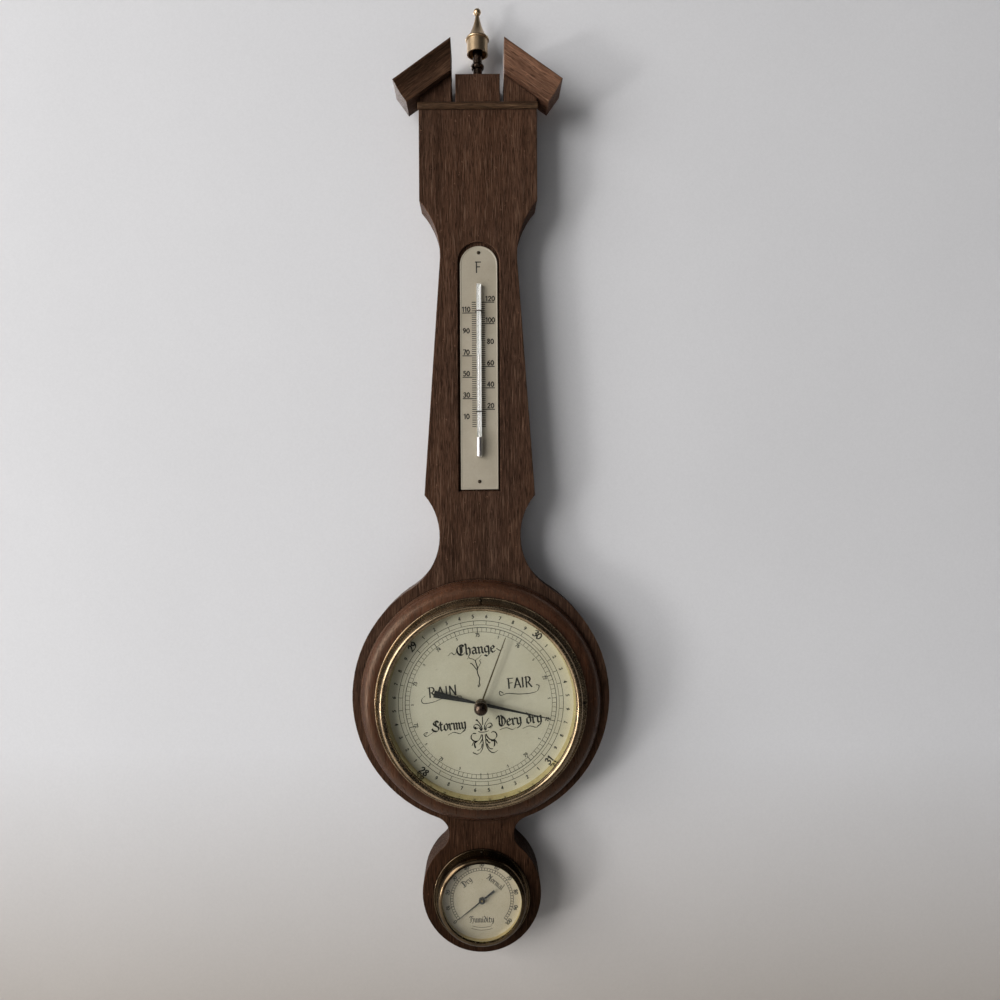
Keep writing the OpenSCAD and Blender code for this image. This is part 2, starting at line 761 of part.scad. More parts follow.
module main_board() {
    color("#3d2d26") difference() {
        wall() difference() {
            linear_extrude(board_t) board_outline();
            rod(hang_hole_r, -over, hang_hole_depth);
            translate([0, 0, recess_floor]) linear_extrude(recess_depth + over)
                plate_outline(recess_side, recess_head, recess_foot);
            for (h = plate_pin_heights) {
                translate([0, h - plate_drop, 0])
                    rod(pin_r + fit, recess_floor - pin_l - over, recess_floor + over);
            }
            translate([0, -dial_drop, 0]) rod(case_bore_r, -over, board_t + over);
            translate([0, -hygro_drop, 0]) {
                rod(hygro_case_r + wood_fit, -over, board_t + over);
                around(hygro_pin_reach, hygro_pin_angles)
                    rod(pin_r + fit, board_t - pin_l - over, board_t + over);
            }
        }
        at_finial() rod(stud_r + fit, -finial_hole_depth, over);
    }
}

module dial_moulding() {
    color("#4a2f26") at_dial() difference() {
        rotate_extrude() difference() {
            union() {
                band(case_bore_r, ring_r, board_t, board_t + ring_step);
                band(case_bore_r, ring_top_r, board_t, ring_top);
                intersection() {
                    translate([ring_top_r, ring_top - ring_arc_r]) circle(ring_arc_r);
                    band(case_bore_r, ring_r, board_t, ring_top + over);
                }
            }
            band(0, case_flange_r + wood_fit, rebate_floor, ring_top + over);
        }
        around(bezel_pin_reach, bezel_pin_angles) rod(pin_r + fit, ring_top - pin_l - fit, ring_top + over);
    }
}

module roof_moulding() {
    top_front = board_t + roof_projection;
    foot_front = board_t + roof_foot_projection;
    hollow_top = [roof_h - roof_fascia, top_front - 1];
    hollow_foot = [roof_fascia, foot_front];
    length = (head_half - kerf_outer) / cos(roof_slope) + roof_overhang;
    spare = roof_h * tan(roof_slope) + over;
    wall() difference() {
        translate([kerf_outer, block_top, 0]) rotate([0, 0, -roof_slope]) translate([-spare, 0, 0])
            rotate([90, 0, 90]) linear_extrude(length + spare) difference() {
                polygon([
                    [0, roof_back],
                    [roof_h, roof_back],
                    [roof_h, top_front],
                    [hollow_top.x, top_front],
                    hollow_top,
                    hollow_foot,
                    [0, foot_front]
                ]);
                translate(arc_centre(hollow_foot, hollow_top, roof_hollow_r)) circle(roof_hollow_r);
            }
        translate([kerf_outer - 2 * spare - over, block_top - spare, 0])
            cube([2 * spare + over, 2 * (roof_h + spare), top_front + over]);
    }
}

module roof_moulding_left() {
    color("#35261f") mirror([1, 0, 0]) roof_moulding();
}

module roof_moulding_right() {
    color("#4d3327") roof_moulding();
}

module pediment_bead() {
    length = head_w + 2 * bead_overhang;
    color("#4b382d") wall() intersection() {
        translate([-length / 2, kerf_bottom - bead_r, board_t]) rotate([0, 90, 0])
            cylinder(r = bead_r, h = length);
        translate([-length / 2, kerf_bottom - 2 * bead_r, board_t]) cube([length, 2 * bead_r, bead_r]);
    }
}

// Finial

module finial_collar() {
    bead_edge = finial_bead_r / 2;
    foot_h = 1.6;
    color("#2b211b") at_finial() rotate_extrude() difference() {
        union() {
            band(0, finial_foot_r, 0, foot_h);
            band(0, finial_stem_r, 0, finial_stem_h);
            translate([finial_bead_r - bead_edge, finial_bead_h]) circle(bead_edge);
        }
        band(-over, stud_r + fit, -over, finial_stem_h + over);
    }
}

module finial_spire() {
    shoulder = [cup_r - 0.2, lip_top];
    neck = [spire_neck_r, spire_neck_h];
    bore_top = finial_stem_h + spire_thread_h;
    color("#8a6f42") at_finial() difference() {
        union() {
            rotate_extrude() {
                band(0, cup_r, cup_mouth_h, lip_h);
                band(0, lip_r - lip_edge_r, lip_h - lip_edge_r, lip_top);
                translate([lip_r - lip_edge_r, lip_h]) circle(lip_edge_r);
                difference() {
                    polygon([[0, lip_h], [shoulder.x, lip_h], shoulder, neck, [0, spire_neck_h]]);
                    translate(arc_centre(neck, shoulder, spire_hollow_r)) circle(spire_hollow_r);
                }
            }
            translate([0, 0, ball_h]) sphere(ball_r);
        }
        rod(cup_r - cup_wall, cup_mouth_h - over, finial_stem_h);
        rod(stud_r + fit, finial_stem_h - over, bore_top);
    }
}

module finial_stud() {
    color("#77705f") at_finial() rod(stud_r, -stud_depth, finial_stem_h + spire_thread_h - fit);
}

// Thermometer

module thermometer_plate() {
    color("#b5ab94") wall() difference() {
        translate([0, 0, recess_floor]) linear_extrude(plate_t) plate_outline(0, 0, 0);
        translate([0, -plate_drop, 0]) {
            for (h = plate_pin_heights) {
                translate([0, h, 0]) rod(pin_r + fit, recess_floor - over, plate_front + over);
            }
            for (h = clip_heights, s = [-1, 1]) {
                translate([s * clip_bend_r, h, 0])
                    rod(clip_wire_r + fit, recess_floor - over, plate_front + over);
            }
        }
    }
}

// Turned section of a tube above a bulb with a rounded lower end
module tube_section(tube, bulb, top, shoulder, bottom) {
    band(0, tube, shoulder, top);
    band(0, bulb, bottom + bulb / 2, shoulder);
    intersection() {
        translate([bulb / 2, bottom + bulb / 2]) circle(bulb / 2);
        band(bulb / 2, bulb, bottom, bottom + bulb / 2);
    }
    band(0, bulb / 2, bottom, bottom + bulb / 2);
}

module at_tube() {
    wall() translate([0, -plate_drop, tube_z]) rotate([-90, 0, 0]) children();
}

module thermometer_tube() {
    color("#dfe3e4", 0.6) at_tube() rotate_extrude() difference() {
        tube_section(tube_r, bulb_r, tube_top, bulb_top, bulb_bottom);
        tube_section(
            capillary_r,
            bulb_bore_r,
            tube_top - tube_r,
            bulb_top - bulb_wall,
            bulb_bottom + bulb_wall
        );
    }
}

module thermometer_liquid() {
    color("#c9c9cb") at_tube() rotate_extrude()
        tube_section(
            capillary_r - fit,
            bulb_bore_r - fit,
            liquid_top,
            bulb_top - bulb_wall - fit,
            bulb_bottom + bulb_wall + fit
        );
}

module thermometer_clips() {
    color("#8f8a80") for (h = clip_heights) at_tube() translate([0, 0, h]) {
        rotate([0, 0, 180]) rotate_extrude(angle = 180) translate([clip_bend_r, 0]) circle(clip_wire_r);
        for (s = [-1, 1]) translate([s * clip_bend_r, 0, 0]) rod_y(clip_wire_r, 0, tube_z - recess_floor);
    }
}

module thermometer_pins() {
    color("#2a241f") wall() for (h = plate_pin_heights) {
        translate([0, h - plate_drop, 0]) pin(plate_front, pin_l, pin_r, pin_head_r, pin_head_h);
    }
}

// Barometer housing, dial and glass

module barometer_case() {
    color("#9a958a") at_dial() difference() {
        rotate_extrude() {
            band(0, case_r, case_back, case_floor);
            band(case_r - case_wall, case_r, case_back, dial_back);
            band(case_r - case_wall, case_flange_r, rebate_floor, dial_back);
        }
        translate(capsule_at) rod(adjuster_head_r + pass_gap, case_back - over, case_floor + over);
        around(case_screw_reach, case_screw_angles)
            rod(case_screw_r + fit, case_back - over, case_floor + over);
    }
}

module case_screws() {
    head_r = 2 * case_screw_r;
    back = case_back - screw_head_h;
    color("#8a8578") at_dial() around(case_screw_reach, case_screw_angles) difference() {
        union() {
            rod(head_r, back, case_back);
            rod(case_screw_r, back + slot_depth, bed);
        }
        translate([-head_r - over, -slot_w / 2, back - over])
            cube([2 * (head_r + over), slot_w, slot_depth + over]);
    }
}

module barometer_dial() {
    color("#b9b19b") at_dial() difference() {
        rod(dial_r, dial_back, dial_front);
        rod(2.5, dial_back - over, dial_front + over);
    }
}

module dial_reflector() {
    outer = bezel_bore_r - disc_fit;
    color("#b9973f") at_dial() rotate_extrude() polygon([
        [reflector_sight_r, dial_front],
        [outer, dial_front],
        [outer, glass_back],
        [reflector_glass_r, glass_back]
    ]);
}

module barometer_glass() {
    color("#dfe8ea", 0.25) at_dial() difference() {
        rod(bezel_bore_r - disc_fit, glass_back, glass_front);
        rod(bush_r + fit, glass_back - over, glass_front + over);
    }
}

module glass_bush() {
    color("#a5813f") at_dial() rotate_extrude() {
        band(spindle_r + fit, bush_r, glass_back - bush_collar_h, glass_front + bush_flange_h);
        band(spindle_r + fit, bush_flange_r, glass_front, glass_front + bush_flange_h);
        band(spindle_r + fit, bush_r + 0.6, glass_back - bush_collar_h, glass_back);
    }
}

module barometer_bezel() {
    color("#8d713d") at_dial() difference() {
        rotate_extrude() crowned_section(bezel_r, bezel_wall_r, bezel_lip_r, ring_top, glass_front);
        around(bezel_pin_reach, bezel_pin_angles)
            rod(pin_r + fit, ring_top - over, ring_top + bezel_sheet + over);
    }
}

module bezel_screws() {
    color("#5e4b2c") at_dial() around(bezel_pin_reach, bezel_pin_angles)
        pin(ring_top + bezel_sheet, pin_l, pin_r, pin_head_r, pin_head_h);
}

// Barometer hands

module pressure_hand() {
    color("#1c1a19") at_dial() pointed(pressure_reading) difference() {
        union() {
            translate([0, 0, pressure_z]) linear_extrude(hand_t) polygon([
                [-pressure_tail_w / 2, -pressure_tail_l],
                [pressure_tail_w / 2, -pressure_tail_l],
                [pressure_neck_w / 2, -pressure_hub_r],
                [pressure_root_w / 2, pressure_hub_r],
                [hand_tip_w / 2, pressure_hand_l],
                [-hand_tip_w / 2, pressure_hand_l],
                [-pressure_root_w / 2, pressure_hub_r],
                [-pressure_neck_w / 2, -pressure_hub_r]
            ]);
            rod(pressure_hub_r, pressure_hub_z, pressure_hub_z + hand_hub_h);
        }
        rod(arbor_r + fit, pressure_hub_z - over, arbor_end + over);
    }
}

module set_hand() {
    color("#a07f3d") at_dial() pointed(set_reading) difference() {
        union() {
            translate([0, 0, set_z]) linear_extrude(hand_t) polygon([
                [-set_root_w / 2, 0],
                [set_root_w / 2, 0],
                [set_tip_w / 2, set_hand_l],
                [-set_tip_w / 2, set_hand_l]
            ]);
            rod(set_hub_r, set_hub_z, set_hub_z + hand_hub_h);
        }
        rod(spindle_r + fit, set_hub_z - over, set_hub_z + hand_hub_h + over);
    }
}

module set_spindle() {
    color("#9c7c3f") at_dial() rod(spindle_r, set_hub_z, knob_z + knob_bore_depth - fit);
}

module set_knob() {
    waist_r = 0.3;
    dome_h = knob_h * 0.4;
    dome_r = (knob_r * knob_r + dome_h * dome_h) / (2 * dome_h);
    rim = knob_z + knob_h - dome_h;
    color("#4a3626") at_dial() difference() {
        rotate_extrude() difference() {
            union() {
                band(0, knob_r, knob_z, rim);
                intersection() {
                    translate([0, knob_z + knob_h - dome_r]) circle(dome_r);
                    band(0, dome_r, rim, knob_z + knob_h + over);
                }
            }
            translate([knob_r + waist_r, (knob_z + rim) / 2]) circle(waist_r + 0.5);
        }
        rod(spindle_r + fit, knob_z - over, knob_z + knob_bore_depth);
    }
}

// Movement

module movement_base() {
    color("#b08d4a") at_dial() difference() {
        rod(base_r, case_floor, bed);
        translate(capsule_at) rod(adjuster_r + fit, case_floor - over, bed + over);
        around(case_screw_reach, case_screw_angles) rod(case_screw_r + fit, case_floor - over, bed + over);
        spring_screw_places() rod(movement_screw_r + fit, case_floor - over, bed + over);
    }
}

module capsule_rear() {
    color("#c2b06b") at_dial() translate(concat(capsule_at, capsule_mid)) mirror([0, 0, 1]) rotate_extrude() {
        diaphragm_section();
        band(capsule_boss_r - 2.4, capsule_boss_r - 0.4, capsule_rise, capsule_mid - bed);
    }
}

module capsule_front() {
    root = capsule_mid + capsule_rise;
    color("#cbb873") at_dial() translate(capsule_at) {
        translate([0, 0, capsule_mid]) rotate_extrude() diaphragm_section();
        rod(capsule_stud_r + 1, root, leaf_z);
        rod(capsule_stud_r, root, stud_tip_z);
    }
}

module capsule_nut() {
    color("#9b8a58") at_dial() translate(capsule_at) difference() {
        translate([0, 0, nut_z]) cylinder(r = nut_r, h = nut_h, $fn = 6);
        rod(capsule_stud_r + fit, nut_z - over, nut_z + nut_h + over);
    }
}

module spring_screw_places() {
    y = spring_riser_y - spring_foot_l / 2;
    for (s = [-1, 1]) translate(capsule_at) translate([s * main_spring_w / 4, y, 0]) children();
}

module main_spring() {
    leaf_end = 4;
    color("#6d6f73") at_dial() difference() {
        translate(capsule_at) translate([main_spring_w / 2, 0, 0]) rotate([90, 0, -90])
            linear_extrude(main_spring_w) {
                translate([-spring_riser_y, bed]) square([spring_foot_l, main_spring_t]);
                translate([-spring_riser_y, bed]) square([main_spring_t, leaf_z + main_spring_t - bed]);
                translate([-leaf_end, leaf_z])
                    square([leaf_end - spring_riser_y + main_spring_t, main_spring_t]);
            }
        translate(capsule_at) rod(capsule_stud_r + fit, leaf_z - over, leaf_z + main_spring_t + over);
        spring_screw_places() rod(movement_screw_r + fit, bed - over, bed + main_spring_t + over);
    }
}

module spring_screws() {
    color("#7d7a72") at_dial() spring_screw_places()
        pin(bed + main_spring_t, main_spring_t + base_t, movement_screw_r, movement_head_r, screw_head_h);
}

module adjusting_screw() {
    back = case_back - screw_head_h;
    color("#a98b48") at_dial() translate(capsule_at) difference() {
        union() {
            rod(adjuster_head_r, back, case_floor - pass_gap);
            rod(adjuster_r, back + slot_depth, bed + capsule_foot_h / 2);
        }
        translate([-adjuster_head_r - over, -slot_w, back - over])
            cube([2 * (adjuster_head_r + over), 2 * slot_w, slot_depth + over]);
    }
}

module lever_bracket() {
    reach = lever_boss_l / 2 + pass_gap;
    color("#a8874a") at_dial() {
        translate([-lever_pivot_left - ear_w / 2, capsule_up - reach - ear_t, bed])
            cube([ear_w, 2 * (reach + ear_t), foot_t]);
        for (y = [capsule_up - reach, capsule_up + reach + ear_t]) {
            ear(-lever_pivot_left, y, lever_axis_z, ear_w, ear_t, bed, lever_pin_r + fit);
        }
    }
}

module lever_pin() {
    reach = lever_boss_l / 2 + pass_gap + ear_t + 0.6;
    color("#7f7c76") at_dial() translate([-lever_pivot_left, 0, lever_axis_z])
        rod_y(lever_pin_r, capsule_up - reach, capsule_up + reach);
}

module main_lever() {
    root_half = 3;
    end_half = 1.3;
    color("#b39550") at_dial() translate([-lever_pivot_left, capsule_up, 0]) difference() {
        union() {
            translate([0, 0, lever_z]) linear_extrude(lever_t) {
                polygon([
                    [0, -root_half],
                    [lever_reach, -end_half],
                    [lever_reach, end_half],
                    [0, root_half]
                ]);
                translate([lever_reach, 0]) circle(end_half);
            }
            translate([0, 0, lever_axis_z]) rod_y(lever_boss_r, -lever_boss_l / 2, lever_boss_l / 2);
        }
        translate([0, 0, lever_axis_z]) rod_y(lever_pin_r + fit, -lever_boss_l, lever_boss_l);
        translate([lever_reach, 0, 0]) rod(link_r + fit, lever_z - over, lever_z + lever_t + over);
    }
}

module lever_link() {
    color("#8d8a80") at_dial() translate([lever_end_right, capsule_up, 0]) difference() {
        union() {
            rod(link_r, arm_tip.y + (eye_bore_r + eye_r) / 2, lever_z + lever_t);
            translate([arm_tip.x - lever_end_right, 0, arm_tip.y]) rod_y(eye_r, -eye_t / 2, eye_t / 2);
        }
        translate([arm_tip.x - lever_end_right, 0, arm_tip.y]) rod_y(eye_bore_r, -eye_t, eye_t);
    }
}

module shaft_bracket() {
    foot_w = 6;
    color("#a8874a") at_dial() {
        translate([shaft_x - foot_w / 2, shaft_low - ear_t, bed])
            cube([foot_w, shaft_high - shaft_low + 2 * ear_t, foot_t]);
        for (y = [shaft_low, shaft_high + ear_t]) {
            ear(shaft_x, y, shaft_z, 2 * shaft_r + 1.6, ear_t, bed, pivot_r + fit);
        }
    }
}

module rocking_shaft() {
    arm_y = capsule_up - eye_t / 2 - pass_gap;
    pin_end = capsule_up + eye_t / 2 + pass_gap;
    color("#9d9484") at_dial() translate([shaft_x, 0, shaft_z]) {
        rod_y(shaft_r, shaft_low + pass_gap, shaft_high - pass_gap);
        rod_y(pivot_r, shaft_low - ear_t, shaft_high + ear_t);
        rotate([0, -arm_lean, 0]) {
            translate([0, chain_y, 0]) rod(long_arm_r, 0, long_arm_l + long_arm_r);
            translate([-short_arm_l, arm_y - arm_t, -arm_pin_r]) cube([short_arm_l, arm_t, 2 * arm_pin_r]);
            translate([-short_arm_l, 0, 0]) rod_y(arm_pin_r, arm_y - arm_t, pin_end);
        }
    }
}

module pull_chain() {
    length = long_tip_x - long_arm_r - pass_gap;
    link_h = chain_t * 1.4;
    color("#6f6a60") at_dial() translate([0, chain_y, chain_z]) {
        translate([0, -chain_t / 4, -chain_t / 4]) cube([length, chain_t / 2, chain_t / 2]);
        for (x = [chain_pitch / 2:chain_pitch:length - chain_t]) {
            translate([x, 0, 0]) rod(chain_t / 2, -link_h / 2, link_h / 2);
        }
    }
}

module hand_arbor() {
    flange_r = drum_r + 1;
    flange_t = 0.4;
    color("#a39a86") at_dial() rotate_extrude() {
        band(0, arbor_pivot_r, rear_bridge_z, hairspring_z);
        band(0, arbor_r, rear_bridge_top + pass_gap, arbor_end);
        band(0, arbor_collet_r, hairspring_z - 0.3, drum_z + flange_t / 2);
        band(0, drum_r, drum_z, drum_z + drum_l);
        band(0, flange_r, drum_z, drum_z + flange_t);
        band(0, flange_r, drum_z + drum_l - flange_t, drum_z + drum_l);
        band(0, arbor_collet_r, drum_z + drum_l - flange_t / 2, front_bridge_z - pass_gap);
    }
}

module hairspring() {
    inner = arbor_collet_r + hairspring_t / 2 + 2 * fit;
    color("#5e6470") at_dial() translate([0, 0, hairspring_z]) linear_extrude(hairspring_w)
        spiral_strip(inner, hairspring_r, hairspring_turns, hairspring_t);
}

module hairspring_stud() {
    stud = 0.6;
    color("#a8874a") at_dial() translate([0, hairspring_r + hairspring_t / 2 + stud + 2 * fit, 0])
        rod(stud, rear_bridge_top, hairspring_z + hairspring_w);
}

module pillars() {
    for (s = [-1, 1]) translate([0, s * pillar_reach, 0]) children();
}

module lower_pillars() {
    color("#b39550") at_dial() pillars() difference() {
        rod(pillar_r, bed, rear_bridge_z);
        rod(movement_screw_r + fit, rear_bridge_z - thread_hole_l, rear_bridge_z + over);
    }
}

module rear_bridge() {
    color("#b08d4a") at_dial() bridge(rear_bridge_z, movement_screw_r + fit, arbor_pivot_r + fit);
}

module upper_pillars() {
    color("#b39550") at_dial() pillars() difference() {
        union() {
            rod(pillar_r, rear_bridge_top, front_bridge_z);
            rod(movement_screw_r, rear_bridge_z - thread_l, rear_bridge_top + over);
        }
        rod(movement_screw_r + fit, front_bridge_z - thread_hole_l, front_bridge_z + over);
    }
}

module front_bridge() {
    color("#b08d4a") at_dial() bridge(front_bridge_z, movement_screw_r + fit, arbor_r + fit);
}

module bridge_screws() {
    color("#7d7a72") at_dial() pillars()
        pin(front_bridge_top, bridge_t + thread_l, movement_screw_r, movement_head_r, screw_head_h);
}

// Hygrometer

module hygrometer_case() {
    inner = hygro_cup_r - hygro_case_wall;
    shoulder = board_t + hygro_case_wall;
    floor_z = hygro_case_back + hygro_case_wall;
    color("#8f8a80") at_tail() difference() {
        rotate_extrude() {
            band(0, hygro_case_r, hygro_case_back, floor_z);
            band(hygro_case_r - hygro_case_wall, hygro_case_r, hygro_case_back, shoulder);
            band(hygro_case_r - hygro_case_wall, hygro_cup_r, board_t, shoulder);
            band(inner, hygro_cup_r, board_t, hygro_dial_back);
        }
        around(hygro_case_r / 2, [for (i = [0:vent_count - 1]) 360 * i / vent_count])
            rod(vent_r, hygro_case_back - over, floor_z + over);
    }
}

module hygrometer_dial() {
    color("#c3bba6") at_tail() difference() {
        rod(hygro_dial_r, hygro_dial_back, hygro_dial_front);
        rod(hygro_arbor_r + fit, hygro_dial_back - over, hygro_dial_front + over);
    }
}

module hygrometer_spacer() {
    color("#7c6436") at_tail() rotate_extrude()
        band(hygro_spacer_r, hygro_inside(hygro_glass_back), hygro_dial_front, hygro_glass_back);
}

module hygrometer_glass() {
    color("#dfe8ea", 0.25) at_tail()
        rod(hygro_inside(hygro_glass_front), hygro_glass_back, hygro_glass_front);
}

module hygrometer_bezel() {
    color("#7d6436") at_tail() difference() {
        rotate_extrude() rounded_section(hygro_bezel_r, hygro_wall_r, hygro_lip_r, board_t, hygro_round_z);
        around(hygro_pin_reach, hygro_pin_angles)
            rod(pin_r + fit, board_t - over, board_t + bezel_sheet + over);
    }
}

module hygrometer_pins() {
    color("#4d3f2a") at_tail() around(hygro_pin_reach, hygro_pin_angles)
        pin(board_t + bezel_sheet, pin_l, pin_r, hygro_pin_reach - hygro_wall_r - fit, pin_head_h);
}

module hygrometer_hand() {
    color("#1c1a19") at_tail() pointed(hygro_reading) difference() {
        union() {
            translate([0, 0, hygro_hand_z]) linear_extrude(hand_t) polygon([
                [-hygro_tail_w / 2, -hygro_tail_l],
                [hygro_tail_w / 2, -hygro_tail_l],
                [hygro_root_w / 2, 0],
                [hygro_tip_w / 2, hygro_hand_l],
                [-hygro_tip_w / 2, hygro_hand_l],
                [-hygro_root_w / 2, 0]
            ]);
            rod(hygro_hub_r, hygro_hub_z, hygro_hub_z + hand_hub_h);
        }
        rod(hygro_arbor_r + fit, hygro_hub_z - over, hygro_end + over);
    }
}

module hygrometer_arbor() {
    color("#a39a86") at_tail() {
        rod(hygro_arbor_r, bracket_back, hygro_end);
        rod(collet_r, bracket_back + bracket_t + pass_gap, coil_z + coil_w);
    }
}

module hygrometer_bracket() {
    post_r = 0.6;
    color("#a8874a") at_tail() {
        difference() {
            translate([0, bracket_w / 2, 0]) rotate([90, 0, 0]) linear_extrude(bracket_w) {
                translate([-bracket_half, bracket_back]) square([2 * bracket_half, bracket_t]);
                for (s = [-1, 1]) {
                    translate([s * (bracket_half - bracket_t / 2) - bracket_t / 2, bracket_back])
                        square([bracket_t, hygro_dial_back - bracket_back]);
                    translate([s * bracket_half, hygro_dial_back - bracket_t / 2])
                        square([2 * bracket_foot, bracket_t], center = true);
                }
            }
            rod(hygro_arbor_r + fit, bracket_back - over, bracket_back + bracket_t + over);
        }
        translate([coil_r + coil_t / 2 + post_r + 2 * fit, 0, 0]) rod(post_r, bracket_back, coil_z + coil_w);
    }
}

module hygrometer_coil() {
    inner = collet_r + coil_t / 2 + 2 * fit;
    color("#c9b48a") at_tail() translate([0, 0, coil_z]) linear_extrude(coil_w)
        spiral_strip(inner, coil_r, 6, coil_t);
}

main_board();
dial_moulding();
roof_moulding_left();
roof_moulding_right();
pediment_bead();
finial_collar();
finial_spire();
finial_stud();
thermometer_plate();
thermometer_tube();
thermometer_liquid();
thermometer_clips();
thermometer_pins();
barometer_case();
case_screws();
barometer_dial();
dial_reflector();
barometer_glass();
glass_bush();
barometer_bezel();
bezel_screws();
pressure_hand();
set_hand();
set_spindle();
set_knob();
movement_base();
capsule_rear();
capsule_front();
capsule_nut();
main_spring();
spring_screws();
adjusting_screw();
lever_bracket();
lever_pin();
main_lever();
lever_link();
shaft_bracket();
rocking_shaft();
pull_chain();
hand_arbor();
hairspring();
hairspring_stud();
lower_pillars();
rear_bridge();
upper_pillars();
front_bridge();
bridge_screws();
hygrometer_case();
hygrometer_dial();
hygrometer_spacer();
hygrometer_glass();
hygrometer_bezel();
hygrometer_pins();
hygrometer_hand();
hygrometer_arbor();
hygrometer_bracket();
hygrometer_coil();
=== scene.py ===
"""Looks of a wall-hung banjo barometer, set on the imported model."""

import math

import bpy
from mathutils import Matrix, Vector


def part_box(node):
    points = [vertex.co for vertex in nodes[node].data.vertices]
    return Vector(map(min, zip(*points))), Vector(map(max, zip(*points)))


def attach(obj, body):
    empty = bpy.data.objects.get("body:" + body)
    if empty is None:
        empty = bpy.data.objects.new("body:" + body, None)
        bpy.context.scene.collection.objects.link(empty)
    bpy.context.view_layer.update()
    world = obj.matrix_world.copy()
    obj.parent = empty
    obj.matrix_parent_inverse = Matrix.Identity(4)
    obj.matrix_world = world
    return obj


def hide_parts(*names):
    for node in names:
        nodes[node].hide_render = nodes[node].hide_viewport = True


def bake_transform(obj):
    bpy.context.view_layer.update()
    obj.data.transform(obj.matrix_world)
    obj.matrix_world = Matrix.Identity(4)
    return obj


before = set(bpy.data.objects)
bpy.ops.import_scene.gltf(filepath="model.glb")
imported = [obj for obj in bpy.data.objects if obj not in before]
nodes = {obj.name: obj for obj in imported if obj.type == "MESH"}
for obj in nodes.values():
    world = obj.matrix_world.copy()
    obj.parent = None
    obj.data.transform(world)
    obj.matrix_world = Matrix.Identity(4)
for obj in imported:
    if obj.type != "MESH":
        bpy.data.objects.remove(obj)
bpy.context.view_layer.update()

# One millimetre in the frame's metres. Lengths are in millimetres where nothing else is said.
MM = 0.001


def face_of(node):
    """Height of a node's middle and distance of its front from the wall, in millimetres."""
    low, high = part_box(node)
    return (low[2] + high[2]) / 2 / MM, -low[1] / MM


DIAL_Z, DIAL_FACE = face_of("barometer_dial")
TAIL_Z, TAIL_FACE = face_of("hygrometer_dial")
PLATE_FACE = face_of("thermometer_plate")[1]
BULB_TOP = -183.7

# Depth of the tube's middle, in metres
TUBE_Y = sum(corner[1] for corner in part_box("thermometer_tube")) / 2

# Samples of the nodes that round edges and find corners
NODE_SAMPLES = 6


